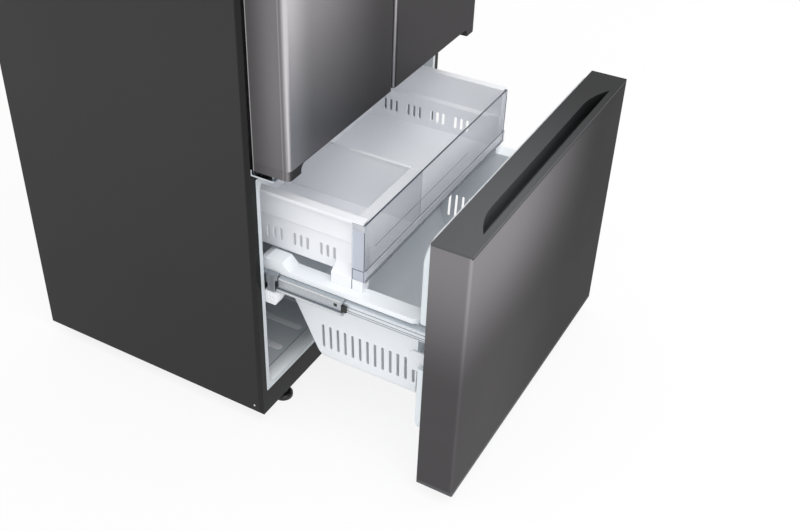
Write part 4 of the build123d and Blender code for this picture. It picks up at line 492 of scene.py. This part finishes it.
def piece(name, mesh, body, finish):
    """New object of the refrigerator, on its body and in the material that has the finish's name.

    Where the frame has a plain material of that name, that is the frame's, and not the one made here.
    """
    data = bpy.data.meshes.new(name)
    bmesh.ops.recalc_face_normals(mesh, faces=mesh.faces)
    mesh.to_mesh(data)
    mesh.free()
    made = in_scene(name, data)
    data.materials.append(bpy.data.materials[finish])
    data.shade_smooth()
    data.set_sharp_from_angle(angle=pi / 5)
    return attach(made, body)


def side_wall(side, x, thick, floor=0.0, lean=0.0):
    """Wall that looks left or right: place of a point (y, z) at a share of its thickness."""
    return lambda y, z, share: (side * (x + (z - floor) * lean + share * thick), y, z)


def level_face(z, thick):
    """The same for a face that looks up and a point (x, y)."""
    return lambda x, y, share: (x, y, z + share * thick)


def spread(low, high, inset, count):
    """Even steps from one end to the other, with both ends drawn in."""
    return [low + inset + index * (high - low - 2 * inset) / (count - 1) for index in range(count)]


def loft(mesh, rings, closed=False):
    """Quads between rings of points that all have the same count. Each ring is a closed loop."""
    loops = [[mesh.verts.new(point) for point in ring] for ring in rings]
    pairs = list(zip(loops, loops[1:]))
    if closed:
        pairs.append((loops[-1], loops[0]))
    for low, high in pairs:
        for index, corner in enumerate(low):
            after = (index + 1) % len(low)
            mesh.faces.new((corner, low[after], high[after], high[index]))
    if not closed:
        mesh.faces.new(loops[0])
        mesh.faces.new(loops[-1])


def rounded_loop(u0, u1, v0, v1, radius, steps):
    """Points (u, v) round a rectangle with round corners, with the outward direction of each."""
    corners = ((u1 - radius, v1 - radius, 0), (u0 + radius, v1 - radius, 1),
               (u0 + radius, v0 + radius, 2), (u1 - radius, v0 + radius, 3))
    points = []
    for cu, cv, quarter in corners:
        for step in range(steps + 1):
            angle = (quarter + step / steps) * pi / 2
            points.append((cu + radius * cos(angle), cv + radius * sin(angle), cos(angle), sin(angle)))
    return points


def plate(mesh, wall, us, vs, radius, ease=0.4 * MM):
    """Flat plate with round corners and an eased edge, between two us and two vs of a wall."""
    loop = rounded_loop(*us, *vs, radius, steps=5)
    rings = [[wall(u - nu * inset, v - nv * inset, share) for u, v, nu, nv in loop]
             for share, inset in ((0.0, 0.0), (0.7, 0.0), (1.0, ease))]
    loft(mesh, rings)


def slot_ends(mesh, wall, centre, top, height, width):
    """Fills the four square corners of an upright slot to round ends."""
    radius = width / 2
    steps = 5
    for end, way in ((top, 1), (top - height, -1)):
        for side in SIDES:
            arc = [(centre + side * radius * cos(pi / 2 * step / steps),
                    end - way * radius * (1 - sin(pi / 2 * step / steps))) for step in range(steps + 1)]
            outline = [(centre + side * radius, end), *arc]
            near = [mesh.verts.new(wall(u, v, 0)) for u, v in outline]
            far = [mesh.verts.new(wall(u, v, 1)) for u, v in outline]
            for index in range(1, steps + 1):
                mesh.faces.new((near[0], near[index], near[index + 1]))
                mesh.faces.new((far[0], far[index + 1], far[index]))
            for index, corner in enumerate(near):
                after = (index + 1) % len(near)
                mesh.faces.new((corner, far[index], far[after], near[after]))


def screw(mesh, centre, axis, radius):
    """Pan head with a cross recess. The axis points out of the surface."""
    turn = Vector(UPWARD).rotation_difference(Vector(axis)).to_matrix().to_4x4()
    place = Matrix.Translation(centre) @ turn
    sides = 24
    angles = [2 * pi * k / sides for k in range(sides)]
    head = ((1.0, 0.0), (1.0, 0.22), (0.92, 0.42), (0.7, 0.56), (0.52, 0.6))
    rings = [[(share, angle, height) for angle in angles] for share, height in head]
    rings += [[(0.3 + 0.16 * cos(4 * angle), angle, height) for angle in angles] for height in (0.58, 0.28)]
    loft(mesh, [[place @ (Vector((reach * cos(angle), reach * sin(angle), height)) * radius)
                 for reach, angle, height in ring] for ring in rings])


def half_round(mesh, start, end, out, radius, height):
    """Raised bead along a straight line, with round ends, standing out of a flat face."""
    start = Vector(start)
    end = Vector(end)
    out = Vector(out)
    run = (end - start).normalized()
    across = run.cross(out)
    steps = 6
    rings = []
    for level in range(steps + 1):
        lift = sin(pi / 2 * level / steps)
        reach = radius * cos(pi / 2 * level / steps) + radius * 0.05
        ring = []
        for centre, first in ((end, -pi / 2), (start, pi / 2)):
            for k in range(steps + 1):
                angle = first + pi * k / steps
                ring.append(centre + run * reach * cos(angle) + across * reach * sin(angle)
                            + out * height * lift)
        rings.append(ring)
    loft(mesh, rings)


def side_beads(mesh, x, start, end, radius, height):
    """Bead on the left and right of a piece, from one (y, z) to another."""
    for side in SIDES:
        half_round(mesh, (side * x, *start), (side * x, *end), (side, 0, 0), radius, height)


# ---------------------------------------------------------------- settings

def colour_setting(name, description, *default):
    """A colour that a user can change, as linear light."""
    return bpy.props.FloatVectorProperty(name=name, description=description, subtype="COLOR", size=4,
                                         default=(*default, 1.0), min=0.0, max=1.0)


def length_setting(name, description, default):
    """A length that a user can change."""
    return bpy.props.FloatProperty(name=name, description=description, unit="LENGTH", default=default,
                                   min=0.1 * MM)


def power_setting(name, description, default):
    """The power of a lamp, which a user can change."""
    return bpy.props.FloatProperty(name=name, description=description, subtype="POWER", default=default,
                                   min=0.0)


class FinishColours(bpy.types.PropertyGroup):
    """Colours of the main finishes, as linear light."""

    case_paint: colour_setting("Case paint", "Charcoal paint of the case", 0.0295, 0.0295, 0.03)
    dark_steel: colour_setting("Door steel", "Dark tinted stainless steel of the fronts", 0.235, 0.226, 0.234)
    dark_cap: colour_setting("End caps", "Moulded caps of doors and drawer", 0.08, 0.083, 0.087)
    white_plastic: colour_setting("White plastic", "White mouldings", 0.92, 0.935, 0.965)
    liner_plastic: colour_setting("Liner", "Cool white of the liners", 0.87, 0.925, 0.96)
    basket_plastic: colour_setting("Basket plastic", "Cool white of the freezer basket", 0.905, 0.94, 0.975)
    tray_plastic: colour_setting("Tray plastic", "Cool white of the sliding tray", 0.92, 0.933, 0.968)
    clear_plastic: colour_setting("Clear plastic", "Clear front of the tray and clear bins", 0.93, 0.95, 0.99)
    clear_edge: colour_setting("Clear edge", "Dark line along the edges of clear plastic", 0.06, 0.07, 0.1)
    shelf_glass: colour_setting("Shelf glass", "Glass of the shelves", 0.9, 0.97, 0.95)
    seal: colour_setting("Seal", "Grey-white rubber of the door seals", 0.78, 0.79, 0.81)
    rail_steel: colour_setting("Rail steel", "Zinc plate of the drawer rails", 0.50, 0.53, 0.56)


class DetailSizes(bpy.types.PropertyGroup):
    """Sizes of the pieces that are added to the solids."""

    screw: length_setting("Screw", "Radius of a screw head", 4.2 * MM)
    bellows: length_setting("Bellows", "Depth of the fold in a seal", 2.6 * MM)
    bead: length_setting("Bead", "Half width of a rolled bead", 1.4 * MM)
    lip: length_setting("Lip", "Depth of the lip inside the clear front", 29 * MM)
    collar: length_setting("Collar", "Height of the corner collars of the clear front", 17 * MM)
    ledge: length_setting("Ledge", "Depth of the ledge in the mouth of the freezer", 36 * MM)
    floor_rib: length_setting("Floor rib", "Half width of a rib in the freezer floor", 11 * MM)


class StageSizes(bpy.types.PropertyGroup):
    """Camera, floor and lamps."""

    lens: bpy.props.FloatProperty(name="Lens", description="Focal length", subtype="DISTANCE_CAMERA",
                                  default=48.49, min=10.0)
    shift: bpy.props.FloatProperty(name="Shift", description="Sideways shift of the frame", default=0.07375)
    eye: bpy.props.FloatVectorProperty(name="Eye", description="Place of the camera", subtype="TRANSLATION",
                                       unit="LENGTH", size=3, default=(-2.0678, -1.3121, 2.0145))
    back: bpy.props.FloatVectorProperty(name="Back", description="Direction from the object to the camera",
                                        subtype="DIRECTION", size=3, default=(-0.6858, -0.4170, 0.5965))
    floor: bpy.props.FloatProperty(name="Floor", description="Half width of the floor", unit="LENGTH",
                                   default=14.0, min=1.0)
    ambient: bpy.props.FloatProperty(name="Ambient", description="Light from all round", default=0.86,
                                     min=0.0)
    key: power_setting("Key", "Large soft lamp high up at the front left", 89.0)
    fill: power_setting("Fill", "Soft lamp at the front right", 30.0)


# ---------------------------------------------------------------- pieces

class REFRIGERATOR_OT_finishes(bpy.types.Operator):
    """Makes the finishes and gives each solid its own"""

    bl_idname = "refrigerator.finishes"
    bl_label = "Finishes"

    def execute(self, context):
        made = make_finishes(context.scene.refrigerator_colours)
        for entry in frame["record"]["subparts"]:
            name = entry["node"]
            node = frame["nodes"][name]
            node.data.materials.clear()
            node.data.materials.append(made[VARIANTS.get(name, entry["material_slot"])])
        return {"FINISHED"}


class REFRIGERATOR_OT_seals(bpy.types.Operator):
    """Folded rubber seals round the drawer front and both doors"""

    bl_idname = "refrigerator.seals"
    bl_label = "Seals"

    def execute(self, context):
        fold = context.scene.refrigerator_details.bellows
        width = 12 * MM
        half = ((0.0, 0.0), (0.0, 0.25), (fold * 0.5, 0.4), (0.0, 0.6), (0.0, 0.85), (width * 0.2, 1.0))
        profile = half + tuple((width - inset, share) for inset, share in reversed(half))
        for node, body in (("drawer_gasket", "drawer"), ("door_gasket_left", "left_door"),
                           ("door_gasket_right", "right_door")):
            low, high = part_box(node)
            deep = high.y - low.y
            loop = rounded_loop(low.x, high.x, low.z, high.z, 22 * MM, steps=8)
            mesh = bmesh.new()
            loft(mesh, [[(x - nx * inset, low.y + share * deep, z - nz * inset) for inset, share in profile]
                        for x, z, nx, nz in loop], closed=True)
            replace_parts(piece(f"{node}_folded", mesh, body, "pale_rubber"), node)
        return {"FINISHED"}


class REFRIGERATOR_OT_slot_ends(bpy.types.Operator):
    """Round ends of the slots in the basket and the tray"""

    bl_idname = "refrigerator.slot_ends"
    bl_label = "Slot ends"

    def execute(self, context):
        self.basket()
        self.tray()
        return {"FINISHED"}

    def basket(self):
        """Thirteen in each leaning side and fifteen in the steep part of the rear wall."""
        low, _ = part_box("freezer_basket")
        floor = low.z + MOULDING
        rim = floor + BASKET_DEPTH
        rear_thick = MOULDING * sqrt(1 + BASKET_REAR_LEAN ** 2)

        def rear(x, z, share):
            return x, BASKET_REAR + (z - floor) * BASKET_REAR_LEAN + share * rear_thick, z

        mesh = bmesh.new()
        for side in SIDES:
            wall = side_wall(side, BASKET_HALF_WIDTH, MOULDING, floor, BASKET_LEAN)
            for index in range(13):
                y = low.y + (30 + index * BASKET_SLOT_PITCH) * MM
                slot_ends(mesh, wall, y, rim - 167 * MM, 75 * MM, BASKET_SLOT)
        for index in range(-7, 8):
            slot_ends(mesh, rear, index * REAR_SLOT_PITCH * MM, rim - 162 * MM, 60 * MM, BASKET_SLOT)
        piece("basket_slot_ends", mesh, "drawer", "basket_plastic")

    def tray(self):
        """Four groups of three in each side."""
        low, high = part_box("tray_body")
        mesh = bmesh.new()
        for side in SIDES:
            wall = side_wall(side, TRAY_HALF_WIDTH, MOULDING)
            for group in range(4):
                for index in range(3):
                    y = low.y + (92 + group * TRAY_GROUP_PITCH + index * TRAY_SLOT_PITCH) * MM
                    slot_ends(mesh, wall, y, high.z - 113 * MM, 35 * MM, TRAY_SLOT)
        piece("tray_slot_ends", mesh, "tray", "tray_plastic")


class REFRIGERATOR_OT_clear_front(bpy.types.Operator):
    """Lip, collars and edge lines of the tray's clear front"""

    bl_idname = "refrigerator.clear_front"
    bl_label = "Clear front"

    def execute(self, context):
        details = context.scene.refrigerator_details
        low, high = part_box("tray_front")
        pane = low.y + 3 * MM
        self.frosted(details, low, high, pane)
        self.lines(details.bead * 0.65, low, high, pane)
        return {"FINISHED"}

    def frosted(self, details, low, high, pane):
        """Flat lip inside the top edge, and a collar round the top of each return."""
        corner = 3 * MM
        lip = pane + 4.3 * MM
        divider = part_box("tray_divider")[0].x
        mesh = bmesh.new()
        plate(mesh, level_face(high.z - 3 * MM, 2.6 * MM), (low.x + 22.5 * MM, divider - 1 * MM),
              (lip, lip + details.lip), corner)
        for side in SIDES:
            plate(mesh, side_wall(side, high.x, 0.9 * MM), (pane + 1 * MM, pane + 31 * MM),
                  (high.z - details.collar, high.z - 1 * MM), corner)
        piece("clear_front_lip", mesh, "tray", "frosted_clear")

    def lines(self, thin, low, high, pane):
        """Dark lines that the top edge, the corners, the foot clip and the embossed step show."""
        top = pane + 2 * MM
        corner = pane + 1.2 * MM
        rear = pane + 32 * MM
        clip = high.z - 126 * MM
        step = high.z - 80 * MM
        mesh = bmesh.new()
        half_round(mesh, (low.x + 3 * MM, top, high.z), (high.x - 3 * MM, top, high.z), UPWARD, 2.2 * MM,
                   0.9 * MM)
        for start, end in (((corner, low.z + 2 * MM), (corner, high.z - 18 * MM)),
                           ((pane + 3 * MM, clip), (rear, clip)),
                           ((rear, low.z + 1 * MM), (rear, clip)),
                           ((rear + 1 * MM, low.z - 28 * MM), (rear + 1 * MM, low.z - 2 * MM))):
            side_beads(mesh, high.x, start, end, thin, thin * 0.6)
        half_round(mesh, (-330 * MM, pane, step), (150 * MM, pane, step), FORWARD, thin * 0.7, thin * 0.4)
        piece("clear_front_lines", mesh, "tray", "clear_line")


def rail_level():
    """Height of the middle of the rails."""
    low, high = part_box("rails_middle")
    return (low.z + high.z) / 2


class REFRIGERATOR_OT_rail_details(bpy.types.Operator):
    """Rolled beads and painted shadow lines, painted shade in the stop holes, and rivets of the drawer rails,
    and the ribs on their caps
    """

    bl_idname = "refrigerator.rail_details"
    bl_label = "Rail details"

    def execute(self, context):
        bead = context.scene.refrigerator_details.bead
        self.beads(bead)
        self.web(rail_level())
        self.cap_ribs(bead)
        return {"FINISHED"}

    def beads(self, bead):
        """Three painted shadow lines on the inner member, and on the middle one two bright beads with a
        painted shadow line inside each.
        """
        level = rail_level()
        # The inner member's lines and the middle one's shade lines are painted shadow.
        for node, kind, body, heights, sunk, front, radius, stand, finish in (
                ("rails_inner", "beads", "drawer", (-11.0, -5.5, 5.0), 0, 8, 0.6, 0.15, "shadow_line"),
                ("rails_middle", "beads", "rail_middle", (-18.0, 18.0), 0, 8, 1.2, 0.7, "bright_steel"),
                ("rails_middle", "shade", "rail_middle", (-13.7, 13.7), 5, 3, 0.6, 0.3, "shadow_line")):
            low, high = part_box(node)
            mesh = bmesh.new()
            for height in heights:
                z = level + height * MM
                side_beads(mesh, high.x - sunk * MM, (low.y + front * MM, z), (high.y - 12 * MM, z),
                           bead * radius, bead * stand)
            piece(f"{node}_{kind}", mesh, body, finish)

    def web(self, level):
        """Black plate in the square stop hole of the middle member as painted shade, and a rivet further
        back.
        """
        low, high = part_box("rails_middle")
        web = high.x - 7 * MM
        hole = low.y + 22.5 * MM
        half = 4.3 * MM
        mesh = bmesh.new()
        # Painted shade: a black plate where the stop hole shows dark.
        for side in SIDES:
            plate(mesh, side_wall(side, web, 1.2 * MM), (hole - half, hole + half),
                  (level - half, level + half), 1 * MM)
        piece("rail_stop_hole_shade", mesh, "rail_middle", "black_plastic")
        mesh = bmesh.new()
        for side in SIDES:
            screw(mesh, (side * web, low.y + 145 * MM, level), (side, 0, 0), 4 * MM)
        piece("rail_rivets", mesh, "rail_middle", "bracket_steel")

    def cap_ribs(self, bead):
        """Raised grid on the outer face of each cap."""
        low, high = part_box("rail_caps")
        mesh = bmesh.new()
        for up in (13, 24):
            z = low.z + up * MM
            side_beads(mesh, high.x, (low.y + 6 * MM, z), (high.y - 6 * MM, z), bead, bead * 0.6)
        for back in (12, 21, 30):
            y = low.y + back * MM
            side_beads(mesh, high.x, (y, low.z + 6 * MM), (y, high.z - 3 * MM), bead, bead * 0.6)
        piece("rail_cap_ribs", mesh, "cabinet", "white_plastic")


class REFRIGERATOR_OT_liner_relief(bpy.types.Operator):
    """Ledge in the mouth of the freezer, a painted shadow line along its rear edge, and long ribs in its
    floor
    """

    bl_idname = "refrigerator.liner_relief"
    bl_label = "Liner relief"

    def execute(self, context):
        details = context.scene.refrigerator_details
        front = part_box("outer_case")[0].y + 2 * MM
        rear = front + details.ledge
        mesh = bmesh.new()
        plate(mesh, level_face(FREEZER_FLOOR, 3 * MM), (-420 * MM, 420 * MM), (front, rear), 9 * MM,
              ease=1.5 * MM)
        for index in range(-4, 5):
            x = index * 96.5 * MM
            half_round(mesh, (x, rear + 26 * MM, FREEZER_FLOOR), (x, 340 * MM, FREEZER_FLOOR), UPWARD,
                       details.floor_rib, 2 * MM)
        piece("freezer_floor_relief", mesh, "cabinet", "white_liner")
        # Painted shadow: a dark line along the rear edge of the ledge.
        mesh = bmesh.new()
        line = rear + 1 * MM
        half_round(mesh, (-418 * MM, line, FREEZER_FLOOR), (418 * MM, line, FREEZER_FLOOR), UPWARD, 1.6 * MM,
                   0.8 * MM)
        piece("freezer_ledge_line", mesh, "cabinet", "shadow_line")
        return {"FINISHED"}


class REFRIGERATOR_OT_screws(bpy.types.Operator):
    """Screw heads on rails, hinges, rear panels and the foot of the case"""

    bl_idname = "refrigerator.screws"
    bl_label = "Screws"

    def execute(self, context):
        radius = context.scene.refrigerator_details.screw
        self.case(radius)
        self.rails(radius * 0.6)
        self.hinges(radius)
        return {"FINISHED"}

    def case(self, radius):
        """Round the machine cover, along the rear panel and low on both sides of the case."""
        mesh = bmesh.new()
        low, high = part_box("machine_cover")
        for x in spread(low.x, high.x, 14 * MM, 7):
            for z in (low.z + 9 * MM, high.z - 9 * MM):
                screw(mesh, (x, high.y, z), REARWARD, radius)
        low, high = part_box("back_panel")
        for z in spread(low.z, high.z, 40 * MM, 8):
            for x in (low.x + 12 * MM, high.x - 12 * MM):
                screw(mesh, (x, low.y + 1 * MM, z), REARWARD, radius)
        low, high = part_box("outer_case")
        for side in SIDES:
            place = (side * (high.x - radius * 0.2), low.y + 30 * MM, low.z + 18 * MM)
            screw(mesh, place, (side, 0, 0), radius * 0.7)
        piece("case_screws", mesh, "cabinet", "bright_steel")

    def rails(self, radius):
        """Three near the front of each inner member, sunk so that they clear the middle one."""
        low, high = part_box("rails_inner")
        z = rail_level() + 8.4 * MM
        mesh = bmesh.new()
        for side in SIDES:
            for back in (94, 106, 121):
                screw(mesh, (side * (high.x - radius * 0.52), low.y + back * MM, z), (side, 0, 0), radius)
        piece("rail_screws", mesh, "drawer", "bracket_steel")

    def hinges(self, radius):
        """Two on top of each hinge cover."""
        low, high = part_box("hinge_covers")
        mesh = bmesh.new()
        for side in SIDES:
            for y in (low.y + 22 * MM, high.y - 22 * MM):
                screw(mesh, (side * (high.x - 33 * MM), y, high.z - radius * 0.3), UPWARD, radius)
        piece("hinge_cover_screws", mesh, "cabinet", "bright_steel")


class REFRIGERATOR_OT_stage(bpy.types.Operator):
    """Floor, light and camera"""

    bl_idname = "refrigerator.stage"
    bl_label = "Stage"

    def execute(self, context):
        sizes = context.scene.refrigerator_stage
        self.floor(sizes.floor)
        self.world(context.scene, sizes.ambient)
        self.lamp("key_lamp", sizes.key, 3.2, place=(-1.8, -2.2, 4.2))
        self.lamp("fill_lamp", sizes.fill, 3.0, place=(3.2, -3.4, 2.4))
        self.camera(context.scene, sizes)
        context.scene.view_settings.view_transform = "Standard"
        return {"FINISHED"}

    def floor(self, reach):
        """White to the camera, and matt for the light, so that it keeps a faint shadow."""
        mesh = bmesh.new()
        corners = ((-reach, -reach), (reach, -reach), (reach, reach), (-reach, reach))
        mesh.faces.new([mesh.verts.new((x, y, -0.2 * MM)) for x, y in corners])
        data = bpy.data.meshes.new("floor")
        mesh.to_mesh(data)
        mesh.free()
        floor = in_scene("floor", data)
        finish = Finish("floor")
        plain = finish.add("ShaderNodeBsdfDiffuse", {"Color": (0.93, 0.93, 0.93, 1.0)})
        glow = finish.add("ShaderNodeEmission", {"Color": WHITE, "Strength": 1.0})
        mixed = finish.add("ShaderNodeMixShader", {0: finish.seen() * 0.85, 1: plain, 2: glow})
        finish.add("ShaderNodeOutputMaterial", {"Surface": mixed})
        data.materials.append(finish.material)

    def world(self, scene, ambient):
        """White to the camera, and a little darker for the light."""
        scene.world = bpy.data.worlds.new("studio")
        scene.world.use_nodes = True
        sky = Nodes(scene.world.node_tree)
        strength = sky.seen() * (1.0 - ambient) + ambient
        light = sky.add("ShaderNodeBackground", {"Color": WHITE, "Strength": strength})
        sky.add("ShaderNodeOutputWorld", {"Surface": light})

    def lamp(self, name, power, size, place):
        """Square soft lamp that looks at the middle of the freezer."""
        data = bpy.data.lights.new(name, "AREA")
        data.energy = power
        data.size = size
        lamp = in_scene(name, data)
        lamp.location = place
        middle = Vector((0.0, 0.0, 0.6))
        lamp.rotation_euler = (middle - lamp.location).to_track_quat("-Z", "Y").to_euler()

    def camera(self, scene, sizes):
        """The photo's camera."""
        data = bpy.data.cameras.new("camera")
        data.sensor_width = 36.0
        data.lens = sizes.lens
        data.shift_x = sizes.shift
        camera = in_scene("camera", data)
        camera.location = sizes.eye
        camera.rotation_euler = Vector(sizes.back).to_track_quat("Z", "Y").to_euler()
        scene.camera = camera


class REFRIGERATOR_PT_panel(bpy.types.Panel):
    """Sidebar list of what the add-on makes"""

    bl_label = "Refrigerator"
    bl_idname = "REFRIGERATOR_PT_panel"
    bl_space_type = "VIEW_3D"
    bl_region_type = "UI"
    bl_category = "Refrigerator"

    def draw(self, context):
        for operator in OPERATORS:
            self.layout.operator(operator.bl_idname)
        for group in SETTINGS:
            settings = getattr(context.scene, group)
            for name in settings.bl_rna.properties.keys():
                if name not in ("rna_type", "name"):
                    self.layout.prop(settings, name)


OPERATORS = (REFRIGERATOR_OT_finishes, REFRIGERATOR_OT_seals, REFRIGERATOR_OT_slot_ends,
             REFRIGERATOR_OT_clear_front, REFRIGERATOR_OT_rail_details, REFRIGERATOR_OT_liner_relief,
             REFRIGERATOR_OT_screws, REFRIGERATOR_OT_stage)
SETTINGS = {"refrigerator_colours": FinishColours, "refrigerator_details": DetailSizes,
            "refrigerator_stage": StageSizes}


def register():
    for group in SETTINGS.values():
        bpy.utils.register_class(group)
    for name, group in SETTINGS.items():
        setattr(bpy.types.Scene, name, bpy.props.PointerProperty(type=group))
    for item in (*OPERATORS, REFRIGERATOR_PT_panel):
        bpy.utils.register_class(item)


def unregister():
    for item in reversed((*OPERATORS, REFRIGERATOR_PT_panel)):
        bpy.utils.unregister_class(item)
    for name, group in SETTINGS.items():
        delattr(bpy.types.Scene, name)
        bpy.utils.unregister_class(group)


def main():
    register()
    for operator in OPERATORS:
        group, name = operator.bl_idname.split(".")
        getattr(getattr(bpy.ops, group), name)()


if __name__ == "__main__":
    main()
